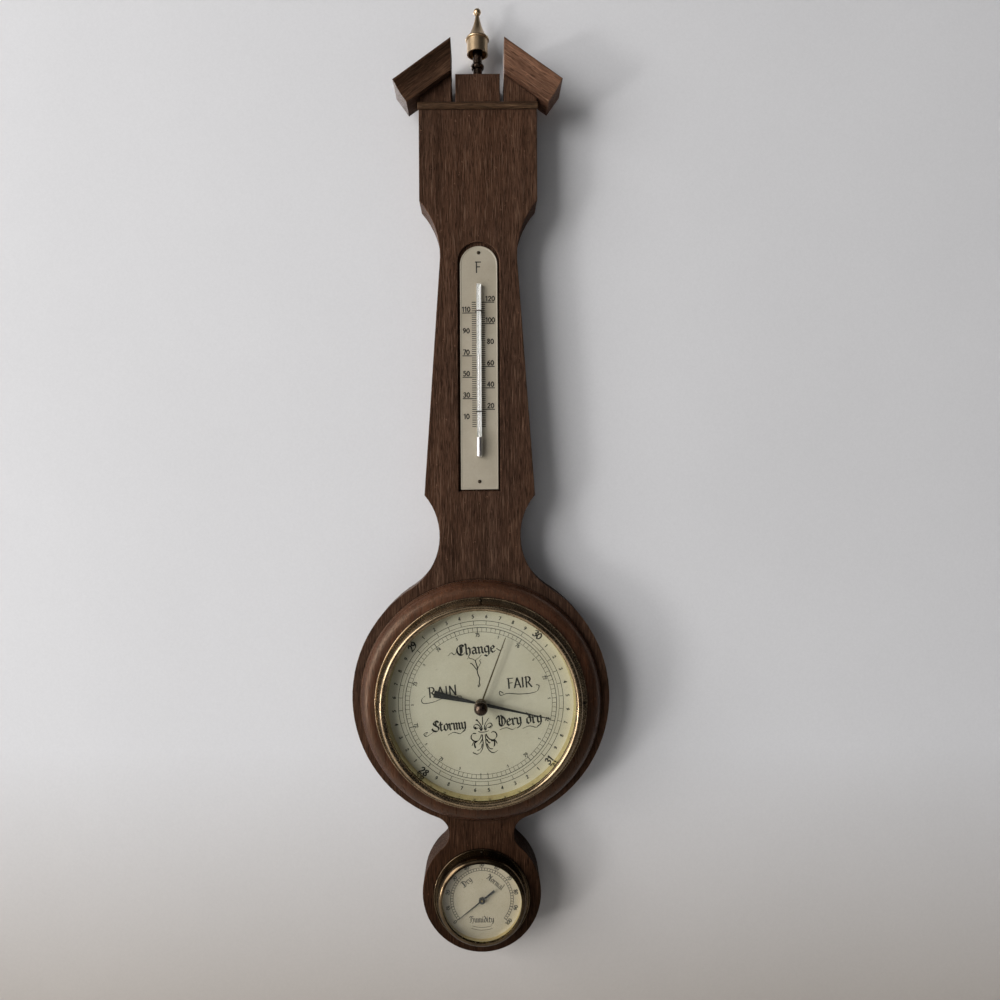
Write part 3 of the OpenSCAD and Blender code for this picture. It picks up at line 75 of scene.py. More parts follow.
class Look:
    """A material and its node tree, with short ways to add nodes. A value is a socket or a constant."""

    def __init__(self, name):
        self.material = bpy.data.materials.new(name)
        self.material.use_nodes = True
        self.tree = self.material.node_tree
        self.tree.nodes.clear()
        self.out = self.node("OutputMaterial")
        self.shader = self.node("BsdfPrincipled")
        self.cover(self.shader.outputs["BSDF"])
        self.where = self.node("TexCoord").outputs["Object"]

    def feed(self, value, target):
        """Joins a socket to the target, or sets the target to a constant."""
        if isinstance(value, bpy.types.NodeSocket):
            self.tree.links.new(value, target)
        elif target.type == "RGBA":
            target.default_value = (*value, 1.0)
        else:
            target.default_value = value

    def fill(self, node, values):
        """Feeds the inputs of a node, which are named with low lines for spaces."""
        for name, value in values.items():
            self.feed(value, node.inputs[name.replace("_", " ")])

    def node(self, kind, **values):
        """A new node with some of its inputs fed."""
        made = self.tree.nodes.new("ShaderNode" + kind)
        self.fill(made, values)
        return made

    def put(self, **values):
        """Feeds the inputs of the main shader."""
        self.fill(self.shader, values)

    def cover(self, shader):
        """Makes a shader the surface of the material."""
        self.feed(shader, self.out.inputs["Surface"])

    def surface(self):
        """The shader that is the surface so far."""
        return self.out.inputs["Surface"].links[0].from_socket

    def plain(self, kind, colour, **values):
        """A simple shader of one colour."""
        return self.node("Bsdf" + kind, Color=colour, **values).outputs["BSDF"]

    def either(self, share, first, second):
        """Two shaders, mixed by the share of the second."""
        made = self.node("MixShader")
        for value, target in zip((share, first, second), made.inputs):
            self.feed(value, target)
        return made.outputs["Shader"]

    def spread(self, scale, turn=(0, 0, 0), shift=(0, 0, 0)):
        """Object coordinates in millimetres, turned first and then stretched by scale."""
        turned = self.node("Mapping", Vector=self.where, Rotation=[math.radians(a) for a in turn])
        stretch = [s / MM for s in scale]
        made = self.node("Mapping", Vector=turned.outputs["Vector"], Scale=stretch, Location=shift)
        return made.outputs["Vector"]

    def noise(self, vector, detail, rough=0.55, distortion=0.0):
        """Noise in the units of a vector."""
        made = self.node("TexNoise", Vector=vector, Scale=1.0, Detail=detail, Roughness=rough,
                         Distortion=distortion)
        return made.outputs["Fac"]

    def speckle(self, scale, detail, rough=0.55, shift=(0, 0, 0)):
        """Noise that is alike in all directions. Its scale is in cycles per millimetre."""
        return self.noise(self.spread((scale, scale, scale), shift=shift), detail, rough)

    def ramp(self, value, *stops):
        """stops are (place, colour) pairs. A bare number is a grey."""
        made = self.node("ValToRGB", Fac=value)
        elements = made.color_ramp.elements
        while len(elements) < len(stops):
            elements.new(0.5)
        for element, (place, colour) in zip(elements, stops):
            element.position = place
            if not hasattr(colour, "__len__"):
                colour = (colour, colour, colour)
            element.color = (*colour, 1.0)
        return made.outputs["Color"]

    def mix(self, share, a, b, kind="MIX"):
        """Two colours, blended by a share. The sockets are those of the node's colour form."""
        made = self.node("Mix")
        made.data_type = "RGBA"
        made.blend_type = kind
        made.clamp_result = False
        self.feed(share, made.inputs[0])
        self.feed(a, made.inputs[6])
        self.feed(b, made.inputs[7])
        return made.outputs[2]

    def calc(self, kind, a, b):
        """One step of arithmetic."""
        made = self.node("Math")
        made.operation = kind
        self.feed(a, made.inputs[0])
        self.feed(b, made.inputs[1])
        return made.outputs[0]

    def rounded(self, radius):
        """The normal as if each edge had a small round, and how near an edge the point lies."""
        soft = self.node("Bevel", Radius=radius * MM)
        soft.samples = NODE_SAMPLES
        apart = self.node("VectorMath")
        apart.operation = "DOT_PRODUCT"
        self.feed(soft.outputs["Normal"], apart.inputs[0])
        self.feed(self.node("NewGeometry").outputs["Normal"], apart.inputs[1])
        return soft.outputs["Normal"], self.calc("SUBTRACT", 1.0, apart.outputs["Value"])

    def along(self, axis):
        """The object's own coordinate along an axis, in metres."""
        return self.node("SeparateXYZ", Vector=self.where).outputs[axis]

    def height(self, low, high):
        """Height along the part in millimetres, from 0 at low to 1 at high."""
        share = self.node("MapRange", Value=self.along("Z"), From_Min=low * MM, From_Max=high * MM)
        return share.outputs["Result"]

    def nook(self, reach):
        """How open a point is: low in the corners and gaps, where the woods use it to paint shade."""
        near = self.node("AmbientOcclusion", Distance=reach * MM)
        near.samples = NODE_SAMPLES
        return near.outputs["AO"]

    def bump(self, height, depth, strength, below=None):
        """A normal that follows a height, over another normal where one is given."""
        made = self.node("Bump", Height=height, Distance=depth * MM, Strength=strength)
        if below is not None:
            self.feed(below, made.inputs["Normal"])
        return made.outputs["Normal"]


# Woods

# Heights in millimetres over which painted shade darkens the woods towards their foot; the ring has its own
# range
SHADED_FOOT = (-515, -320)
RING_SHADED_FOOT = (-430, -290)
EDGE_ROUND = 0.9
# Reach in millimetres of the painted shade in the woods' corners and gaps
CORNER_SHADE_REACH = 2.2


def wood(name, dark, middle, light, turn=(0, 0, 0), shift=(0, 0, 0), gloss=0.50, specular=0.12, threads=0.55,
         wear=0.6, pore_depth=0.10, foot_shade_range=SHADED_FOOT):
    """Open-grained wood with its fibres along the turned Z axis, pale at worn edges, with painted shade that
    darkens its foot, its corners and its gaps.
    """
    look = Look(name)

    def layer(across, along, detail, rough=0.55, distortion=0.0, offset=0.0):
        """Noise drawn out along the fibres. The first two are its cycles in a millimetre."""
        place = (shift[0] + offset, shift[1], shift[2])
        return look.noise(look.spread((across, across, along), turn, place), detail, rough, distortion)

    wave = layer(0.014, 0.007, 2.0)
    figure = layer(0.16, 0.0045, 4.0, 0.6, 0.4)
    streak = layer(0.60, 0.014, 4.0, 0.65, offset=3.1)
    fibre = layer(1.9, 0.13, 4.0, 0.65)
    fine = layer(4.2, 0.30, 3.0, 0.6)
    pores = layer(2.2, 0.18, 2.0, 0.5, offset=7.3)
    nicks = layer(0.42, 0.30, 5.0, 0.75, offset=61.9)
    strands = layer(1.6, 0.060, 3.0, 0.6, offset=21.7)
    patchy = layer(0.16, 0.10, 4.0, 0.7, offset=40.3)

    body = look.ramp(figure, (0.28, dark), (0.52, middle), (0.76, light))
    streaks = look.ramp(streak, (0.32, 0.80), (0.50, 1.0), (0.68, 1.22))
    coloured = look.mix(0.65, body, streaks, "MULTIPLY")
    patches = look.ramp(wave, (0.30, (0.76, 0.78, 0.82)), (0.70, (1.26, 1.14, 1.04)))
    coloured = look.mix(0.8, coloured, patches, "MULTIPLY")
    hairs = look.ramp(fibre, (0.32, 0.52), (0.50, 1.0), (0.68, 1.60))
    coloured = look.mix(0.85, coloured, hairs, "MULTIPLY")
    open_pores = look.ramp(pores, (0.36, 0.65), (0.45, 0.0))
    coloured = look.mix(open_pores, coloured, tuple(c * 0.22 for c in dark))
    pale = look.ramp(strands, (0.56, 0.0), (0.68, threads))
    coloured = look.mix(pale, coloured, tuple(c * k for c, k in zip(middle, (2.9, 3.2, 3.3))))
    chipped = look.ramp(nicks, (0.64, 0.0), (0.69, 0.6))
    coloured = look.mix(chipped, coloured, tuple(c * 4.0 for c in middle))

    soft, edge = look.rounded(EDGE_ROUND)
    at_edge = look.ramp(edge, (0.02, 0.0), (0.16, 1.0))
    rubbed = look.calc("MULTIPLY", at_edge, look.ramp(patchy, (0.44, 0.0), (0.62, wear)))
    coloured = look.mix(rubbed, coloured, tuple(min(c * 4.0, 0.3) for c in middle))
    # Painted shade: the wood grows darker towards its foot
    low_down = look.height(*foot_shade_range)
    foot = look.ramp(low_down, (0.0, (0.30, 0.25, 0.20)), (0.3, (0.51, 0.44, 0.36)), (1.0, 1.0))
    coloured = look.mix(1.0, coloured, foot, "MULTIPLY")
    # Painted shade: the wood grows darker in corners, in gaps and under overhangs
    corner_shade = look.ramp(look.nook(CORNER_SHADE_REACH), (0.30, 0.22), (0.85, 1.0))
    look.put(Base_Color=look.mix(1.0, coloured, corner_shade, "MULTIPLY"))

    shine = look.ramp(streak, (0.30, gloss + 0.12), (0.70, gloss - 0.06))
    look.put(Roughness=look.mix(open_pores, shine, (0.85, 0.85, 0.85)))
    grain = look.bump(fine, depth=0.05, strength=0.5, below=soft)
    pits = look.ramp(pores, (0.35, 0.0), (0.48, 1.0))
    look.put(Normal=look.bump(pits, depth=pore_depth, strength=0.8, below=grain))
    look.put(Specular_IOR_Level=specular, Specular_Tint=(1.0, 0.74, 0.54))
    return look.material


ROOF_SLOPE = 35.7

board_wood = wood("board_wood", (0.036, 0.0184, 0.0116), (0.056, 0.0296, 0.0190), (0.073, 0.0404, 0.0268),
                  threads=0.62, gloss=0.56, specular=0.06, wear=0.9)
ring_wood = wood("ring_wood", (0.039, 0.0160, 0.0088), (0.073, 0.0315, 0.0174), (0.106, 0.0482, 0.0272),
                 shift=(11, 3, 5), gloss=0.28, specular=0.42, threads=0.30, wear=0.3, pore_depth=0.06,
                 foot_shade_range=RING_SHADED_FOOT)
# The two roof mouldings are one wood in two tones: the right one is painted lighter as painted light on its
# face, and the left one darker as painted shade
roof_left_wood_shaded = wood("roof_left_wood_shaded", (0.024, 0.012, 0.007), (0.047, 0.0235, 0.0136), (0.070, 0.036, 0.021),
                      turn=(0, ROOF_SLOPE - 90, 0), shift=(31, 5, 2), gloss=0.46, specular=0.2)
roof_right_wood_lit = wood("roof_right_wood_lit", (0.053, 0.025, 0.015), (0.102, 0.051, 0.032), (0.150, 0.082, 0.054),
                       turn=(0, 90 - ROOF_SLOPE, 0), shift=(53, 9, 4), gloss=0.46, specular=0.2)
bead_wood = wood("bead_wood", (0.026, 0.0136, 0.008), (0.054, 0.030, 0.017), (0.088, 0.054, 0.030),
                 turn=(0, 90, 0), shift=(71, 2, 8), gloss=0.42, specular=0.25, threads=0.7, wear=0.9)


# Metals

def metal(name, bright, dull, tarnish, rough=(0.16, 0.42), grain=0.35, streak=(1.4, 1.4, 1.4), spots=0.35,
          scratch=0.02):
    """Aged metal: a bright ground, dull clouds and darker tarnished spots, with fine wear in its gloss."""
    look = Look(name)
    clouds = look.speckle(grain, 4.0, 0.6)
    specks = look.speckle(1.9, 3.0, 0.6)
    wear = look.noise(look.spread(streak), 4.0, 0.65)
    ground = look.ramp(clouds, (0.34, dull), (0.62, bright))
    spotted = look.ramp(specks, (0.54, 0.0), (0.70, spots))
    look.put(Base_Color=look.mix(spotted, ground, tarnish))
    look.put(Roughness=look.ramp(wear, (0.30, rough[0]), (0.72, rough[1])))
    look.put(Normal=look.bump(wear, depth=scratch, strength=0.6))
    look.put(Metallic=1.0)
    return look.material


bezel_brass = metal("bezel_brass", (0.36, 0.264, 0.164), (0.22, 0.158, 0.096), (0.045, 0.031, 0.019),
                    rough=(0.19, 0.34), grain=0.12, spots=0.45, scratch=0.008)
tail_brass = metal("tail_brass", (0.120, 0.084, 0.048), (0.062, 0.042, 0.025), (0.016, 0.011, 0.008),
                   rough=(0.14, 0.30), grain=0.14, spots=0.5, scratch=0.008)
reflector_brass = metal("reflector_brass", (0.86, 0.76, 0.48), (0.74, 0.63, 0.36), (0.45, 0.36, 0.18),
                        rough=(0.14, 0.30), spots=0.25)
finial_brass = metal("finial_brass", (0.56, 0.415, 0.258), (0.425, 0.310, 0.190), (0.13, 0.090, 0.056),
                     rough=(0.27, 0.42), grain=0.10, spots=0.40, scratch=0.005)
hand_brass = metal("hand_brass", (0.21, 0.160, 0.090), (0.14, 0.105, 0.060), (0.040, 0.030, 0.020),
                   rough=(0.40, 0.58), spots=0.4)
knob_bronze = metal("knob_bronze", (0.085, 0.060, 0.045), (0.045, 0.032, 0.024), (0.014, 0.010, 0.008),
                    rough=(0.20, 0.40), spots=0.5)
movement_brass = metal("movement_brass", (0.66, 0.48, 0.20), (0.48, 0.34, 0.14), (0.24, 0.15, 0.06),
                       rough=(0.18, 0.36), streak=(3.0, 0.4, 0.4))
movement_steel = metal("movement_steel", (0.56, 0.56, 0.55), (0.40, 0.40, 0.39), (0.16, 0.13, 0.11),
                       rough=(0.16, 0.34), streak=(0.4, 3.0, 0.4))
can_tin = metal("can_tin", (0.52, 0.51, 0.48), (0.36, 0.35, 0.325), (0.15, 0.125, 0.10), rough=(0.28, 0.55),
                spots=0.5)
coil_strip = metal("coil_strip", (0.62, 0.42, 0.24), (0.46, 0.30, 0.17), (0.2, 0.12, 0.07), rough=(0.24, 0.4))
fixing_dark = metal("fixing_dark", (0.050, 0.038, 0.026), (0.026, 0.020, 0.014), (0.008, 0.007, 0.006),
                    rough=(0.30, 0.60), grain=0.9)
finial_dark = metal("finial_dark", (0.100, 0.068, 0.050), (0.046, 0.031, 0.023), (0.014, 0.010, 0.008),
                    rough=(0.14, 0.34))
liquid_silver = metal("liquid_silver", (0.80, 0.76, 0.74), (0.72, 0.68, 0.66), (0.50, 0.48, 0.47),
                      rough=(0.30, 0.42), spots=0.1, scratch=0.0)


# Silvered and painted sheets

def silvered(name, ground, aged, stain, rough=0.48):
    """Matt silvered or painted sheet with faint yellowed clouds, specks of age and a fine tooth."""
    look = Look(name)
    clouds = look.speckle(0.035, 4.0, 0.6)
    mottle = look.speckle(0.9, 3.0, 0.6)
    specks = look.speckle(0.55, 2.0, 0.5, shift=(13, 4, 9))
    tooth = look.speckle(6.0, 3.0, 0.6)
    colour = look.ramp(clouds, (0.34, aged), (0.62, ground))
    colour = look.mix(0.5, colour, look.ramp(mottle, (0.30, 0.93), (0.70, 1.06)), "MULTIPLY")
    colour = look.mix(look.ramp(specks, (0.70, 0.0), (0.80, 0.35)), colour, stain)
    look.put(Base_Color=colour)
    look.put(Roughness=look.ramp(mottle, (0.30, rough + 0.08), (0.70, rough - 0.06)))
    look.put(Normal=look.bump(tooth, depth=0.012, strength=0.5))
    look.put(Metallic=0.0, Specular_IOR_Level=0.5)
    return look.material


dial_silvered = silvered("dial_silvered", (0.620, 0.575, 0.465), (0.560, 0.510, 0.395), (0.28, 0.22, 0.14))
plate_silvered = silvered("plate_silvered", (0.400, 0.355, 0.280), (0.345, 0.302, 0.230), (0.17, 0.13, 0.09),
                          rough=0.36)
hygro_dial_paint = silvered("hygro_dial_paint", (0.520, 0.445, 0.340), (0.455, 0.382, 0.282),
                            (0.24, 0.17, 0.10), rough=0.55)


# Lacquer and ink

def lacquer(name, colour, worn, rough):
    """Dark lacquer or ink, a little greyer where it is rubbed."""
    look = Look(name)
    rubbed = look.speckle(1.6, 4.0, 0.65)
    look.put(Base_Color=look.ramp(rubbed, (0.40, colour), (0.72, worn)))
    look.put(Roughness=look.ramp(rubbed, (0.35, rough), (0.70, rough + 0.18)))
    look.put(Normal=look.bump(rubbed, depth=0.01, strength=0.4))
    return look.material


hand_black = lacquer("hand_black", (0.010, 0.010, 0.010), (0.026, 0.025, 0.023), rough=0.34)
print_ink = lacquer("print_ink", (0.010, 0.009, 0.008), (0.034, 0.030, 0.025), rough=0.55)
faded_ink = lacquer("faded_ink", (0.034, 0.027, 0.019), (0.078, 0.062, 0.044), rough=0.55)


# Glass

GLASS_IOR = 1.45


def pane(name, tint, dust_share):
    """Thin glass that lets the light through, with a clear reflection and a breath of dust."""
    look = Look(name)
    look.tree.nodes.remove(look.shader)
    clear = look.plain("Transparent", tint)
    shine = look.plain("Glossy", (0.95, 0.96, 0.95), Roughness=0.03)
    film = look.plain("Diffuse", (0.62, 0.60, 0.56))
    inside = look.node("NewGeometry").outputs["Backfacing"]
    sign = look.calc("SUBTRACT", 1.0, look.calc("MULTIPLY", inside, 2.0))
    edge = look.node("Fresnel", IOR=look.calc("POWER", GLASS_IOR, sign))
    reflecting = look.either(edge.outputs["Fac"], clear, shine)
    dust = look.ramp(look.speckle(1.3, 4.0, 0.7), (0.50, 0.0), (0.85, dust_share))
    look.cover(look.either(dust, reflecting, film))
    return look


def backed_pane(name, tint, backing, front_y, foot_z):
    """Glass tube with a milk-white strip in its back, behind a depth and above a height in metres."""
    look = pane(name, tint, dust_share=0.01)
    white = look.plain("Diffuse", backing)
    behind = look.calc("GREATER_THAN", look.along("Y"), front_y)
    above = look.calc("GREATER_THAN", look.along("Z"), foot_z)
    look.cover(look.either(look.calc("MULTIPLY", behind, above), look.surface(), white))
    return look


clear_glass = pane("clear_glass", (0.975, 0.985, 0.970), dust_share=0.05).material
tube_glass = backed_pane("tube_glass", (0.995, 0.995, 0.995), (0.93, 0.93, 0.91), TUBE_Y,
                         BULB_TOP * MM).material

LOOKS = {
    board_wood: ["main_board"],
    ring_wood: ["dial_moulding"],
    roof_left_wood_shaded: ["roof_moulding_left"],
    roof_right_wood_lit: ["roof_moulding_right"],
    bead_wood: ["pediment_bead"],
    finial_brass: ["finial_spire"],
    finial_dark: ["finial_collar"],
    plate_silvered: ["thermometer_plate"],
    dial_silvered: ["barometer_dial"],
    hygro_dial_paint: ["hygrometer_dial"],
    bezel_brass: ["barometer_bezel"],
    tail_brass: ["hygrometer_bezel"],
    reflector_brass: ["dial_reflector", "hygrometer_spacer"],
    clear_glass: ["barometer_glass", "hygrometer_glass"],
    tube_glass: ["thermometer_tube"],
    liquid_silver: ["thermometer_liquid"],
    fixing_dark: ["thermometer_pins", "thermometer_clips", "bezel_screws", "hygrometer_pins", "case_screws"],
    hand_black: ["pressure_hand", "hygrometer_hand"],
    hand_brass: ["set_hand", "set_spindle", "glass_bush"],
    knob_bronze: ["set_knob"],
    can_tin: ["barometer_case", "hygrometer_case", "capsule_rear", "capsule_front"],
    movement_brass: ["movement_base", "capsule_nut", "lever_bracket", "shaft_bracket", "hand_arbor",
                     "hairspring_stud", "lower_pillars", "rear_bridge", "upper_pillars", "front_bridge",
                     "hygrometer_bracket", "hygrometer_arbor"],
    movement_steel: ["finial_stud", "main_spring", "spring_screws", "adjusting_screw", "lever_pin",
                     "main_lever", "lever_link", "rocking_shaft", "pull_chain", "hairspring",
                     "bridge_screws"],
    coil_strip: ["hygrometer_coil"],
}
for material, members in LOOKS.items():
    for name in members:
        held = nodes[name].data.materials
        held.clear()
        held.append(material)


# New pieces

def stand(name, data):
    """A new object in the scene."""
    made = bpy.data.objects.new(name, data)
    bpy.context.scene.collection.objects.link(made)
    return made


def mesh_of(name, points, faces, material):
    """A new mesh of one material."""
    mesh = bpy.data.meshes.new(name)
    mesh.from_pydata(points, [], faces)
    mesh.materials.append(material)
    return mesh


def free_piece(name, points, faces, material):
    """A piece that rides no body yet. Its four-sided faces are shaded smooth and its ends flat."""
    mesh = mesh_of(name, points, faces, material)
    for face in mesh.polygons:
        face.use_smooth = len(face.vertices) == 4
    made = stand(name, mesh)
    return made


def piece_of(name, points, faces, material, body):
    """A piece that rides a body."""
    made = free_piece(name, points, faces, material)
    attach(made, body)
    return made


def bands(rings, around):
    """Four-sided faces between rings of points, with as many points in each ring."""
    faces = []
    for ring in range(rings - 1):
        for i in range(around):
            a = ring * around + i
            b = ring * around + (i + 1) % around
            faces.append((a, b, b + around, a + around))
    return faces


# Printing

INK_LIFT = 0.03
TINY_AREA = 1e-6
ARC_STEP = 25.0


def polar(radius, angle):
    """A point of a circle, at an angle in degrees clockwise from the top."""
    a = math.radians(angle)
    return (radius * math.sin(a), radius * math.cos(a))


class Ink:
    """Flat printed shapes on a plane. Points are (right, up) in millimetres from the sheet's own centre."""

    def __init__(self, centre_z, face, turn=0.0):
        self.points = []
        self.faces = []
        self.centre_z = centre_z
        self.depth = face + INK_LIFT
        self.turn = math.radians(turn)

    def polygon(self, outline):
        """A convex shape, turned so that it faces the front."""
        area = 0.0
        for (ax, ay), (bx, by) in zip(outline, outline[1:] + outline[:1]):
            area += ax * by - bx * ay
        if abs(area) < TINY_AREA:
            return
        if area < 0:
            outline = outline[::-1]
        first = len(self.points)
        c, s = math.cos(self.turn), math.sin(self.turn)
        for x, y in outline:
            right, up = x * c - y * s, x * s + y * c
            self.points.append((right * MM, -self.depth * MM, (self.centre_z + up) * MM))
        self.faces.append(tuple(range(first, first + len(outline))))

    def line(self, a, b, width):
        dx, dy = b[0] - a[0], b[1] - a[1]
        length = math.hypot(dx, dy)
        nx, ny = -dy / length * width / 2, dx / length * width / 2
        self.polygon([
            (a[0] + nx, a[1] + ny), (a[0] - nx, a[1] - ny),
            (b[0] - nx, b[1] - ny), (b[0] + nx, b[1] + ny),
        ])

    def circle(self, radius, width, start=0.0, end=360.0):
        """An arc from start to end, in degrees clockwise from the top."""
        steps = max(8, int(abs(end - start) * radius / ARC_STEP))
        inner, outer = radius - width / 2, radius + width / 2
        for i in range(steps):
            a, b = (start + (end - start) * k / steps for k in (i, i + 1))
            self.polygon([polar(inner, a), polar(outer, a), polar(outer, b), polar(inner, b)])

    def tick(self, angle, inner, outer, width):
        """A short line along a radius."""
        self.line(polar(inner, angle), polar(outer, angle), width)

    def pen(self, path, nib, thin, slant):
        """Draws a path with a flat nib that is held at a fixed slant."""
        c, s = math.cos(slant), math.sin(slant)
        corners = []
        for u, v in ((nib, thin), (-nib, thin), (-nib, -thin), (nib, -thin)):
            corners.append(((u * c - v * s) / 2, (u * s + v * c) / 2))
        for (ax, ay), (bx, by) in zip(path, path[1:]):
            start = [(ax + x, ay + y) for x, y in corners]
            end = [(bx + x, by + y) for x, y in corners]
            self.polygon(hull(start + end))

    def piece(self, name, material, body):
        piece_of(name, self.points, self.faces, material, body)


def hull(points):
    """The convex outline round some points."""
    points = sorted(set(points))
    if len(points) < 3:
        return points

    def half(seq):
        chain = []
        for p in seq:
            while len(chain) > 1:
                (ax, ay), (bx, by) = chain[-2], chain[-1]
                if (bx - ax) * (p[1] - ay) - (by - ay) * (p[0] - ax) > 0:
                    break
                chain.pop()
            chain.append(p)
        return chain

    lower, upper = half(points), half(points[::-1])
    return lower[:-1] + upper[:-1]


def curve(knots, steps=6):
    """A smooth path through some points."""
    ends = [knots[0]] + list(knots) + [knots[-1]]
    path = []
    for p0, p1, p2, p3 in zip(ends, ends[1:], ends[2:], ends[3:]):
        for i in range(steps):
            t = i / steps
            point = []
            for a, b, c, d in zip(p0, p1, p2, p3):
                bend = (2 * a - 5 * b + 4 * c - d) * t * t
                twist = (3 * b - a - 3 * c + d) * t ** 3
                point.append(0.5 * (2 * b + (c - a) * t + bend + twist))
            path.append(tuple(point))
    path.append(tuple(knots[-1]))
    return path


# Letters are pen strokes: "c" is a smooth path and "l" a path of straight runs.
# The height of a plain letter is 1. The number before the strokes is the letter's width.
FIGURES = {
    "0": (0.66, [("c", [(0.30, 1.0), (0.06, 0.70), (0.06, 0.30), (0.30, 0.0), (0.54, 0.30),
                        (0.54, 0.70), (0.30, 1.0)])]),
    "1": (0.44, [("l", [(0.04, 0.80), (0.24, 1.0), (0.24, 0.0)])]),
    "2": (0.66, [("c", [(0.08, 0.76), (0.28, 1.0), (0.52, 0.76), (0.36, 0.42), (0.06, 0.03)]),
                 ("l", [(0.06, 0.03), (0.58, 0.03)])]),
    "3": (0.64, [("c", [(0.08, 0.86), (0.30, 1.0), (0.50, 0.78), (0.28, 0.54)]),
                 ("c", [(0.28, 0.54), (0.54, 0.30), (0.28, 0.0), (0.04, 0.14)])]),
    "4": (0.68, [("l", [(0.44, 0.0), (0.44, 1.0), (0.04, 0.30), (0.60, 0.30)])]),
    "5": (0.64, [("l", [(0.52, 0.98), (0.16, 0.98), (0.12, 0.56)]),
                 ("c", [(0.12, 0.56), (0.34, 0.62), (0.54, 0.34), (0.30, 0.0), (0.06, 0.12)])]),
    "6": (0.66, [("c", [(0.48, 0.96), (0.20, 0.74), (0.06, 0.30), (0.30, 0.0), (0.54, 0.28),
                        (0.30, 0.58), (0.08, 0.34)])]),
    "7": (0.60, [("l", [(0.04, 0.98), (0.54, 0.98), (0.20, 0.0)])]),
    "8": (0.66, [("c", [(0.30, 0.54), (0.10, 0.78), (0.30, 1.0), (0.50, 0.78), (0.30, 0.54),
                        (0.06, 0.26), (0.30, 0.0), (0.54, 0.26), (0.30, 0.54)])]),
    "9": (0.66, [("c", [(0.12, 0.04), (0.40, 0.26), (0.54, 0.70), (0.30, 1.0), (0.06, 0.72),
                        (0.30, 0.42), (0.52, 0.66)])]),
}
ROMAN = {
    "R": (0.70, [("l", [(0.10, 1.04), (0.10, -0.04)]),
                 ("c", [(0.0, 0.96), (0.36, 1.0), (0.50, 0.76), (0.36, 0.52), (0.10, 0.46)]),
                 ("l", [(0.26, 0.48), (0.62, -0.04)])]),
    "A": (0.70, [("l", [(0.0, 0.0), (0.32, 1.0), (0.62, 0.0)]), ("l", [(0.10, 0.30), (0.54, 0.30)])]),
    "I": (0.30, [("l", [(0.10, 1.0), (0.10, 0.0)])]),
    "N": (0.68, [("l", [(0.06, 0.0), (0.06, 1.0), (0.56, 0.0), (0.56, 1.06)])]),
    "F": (0.60, [("l", [(0.10, 0.0), (0.10, 1.0)]), ("l", [(0.0, 1.0), (0.54, 1.0)]),
                 ("l", [(0.10, 0.54), (0.44, 0.54)])]),
}
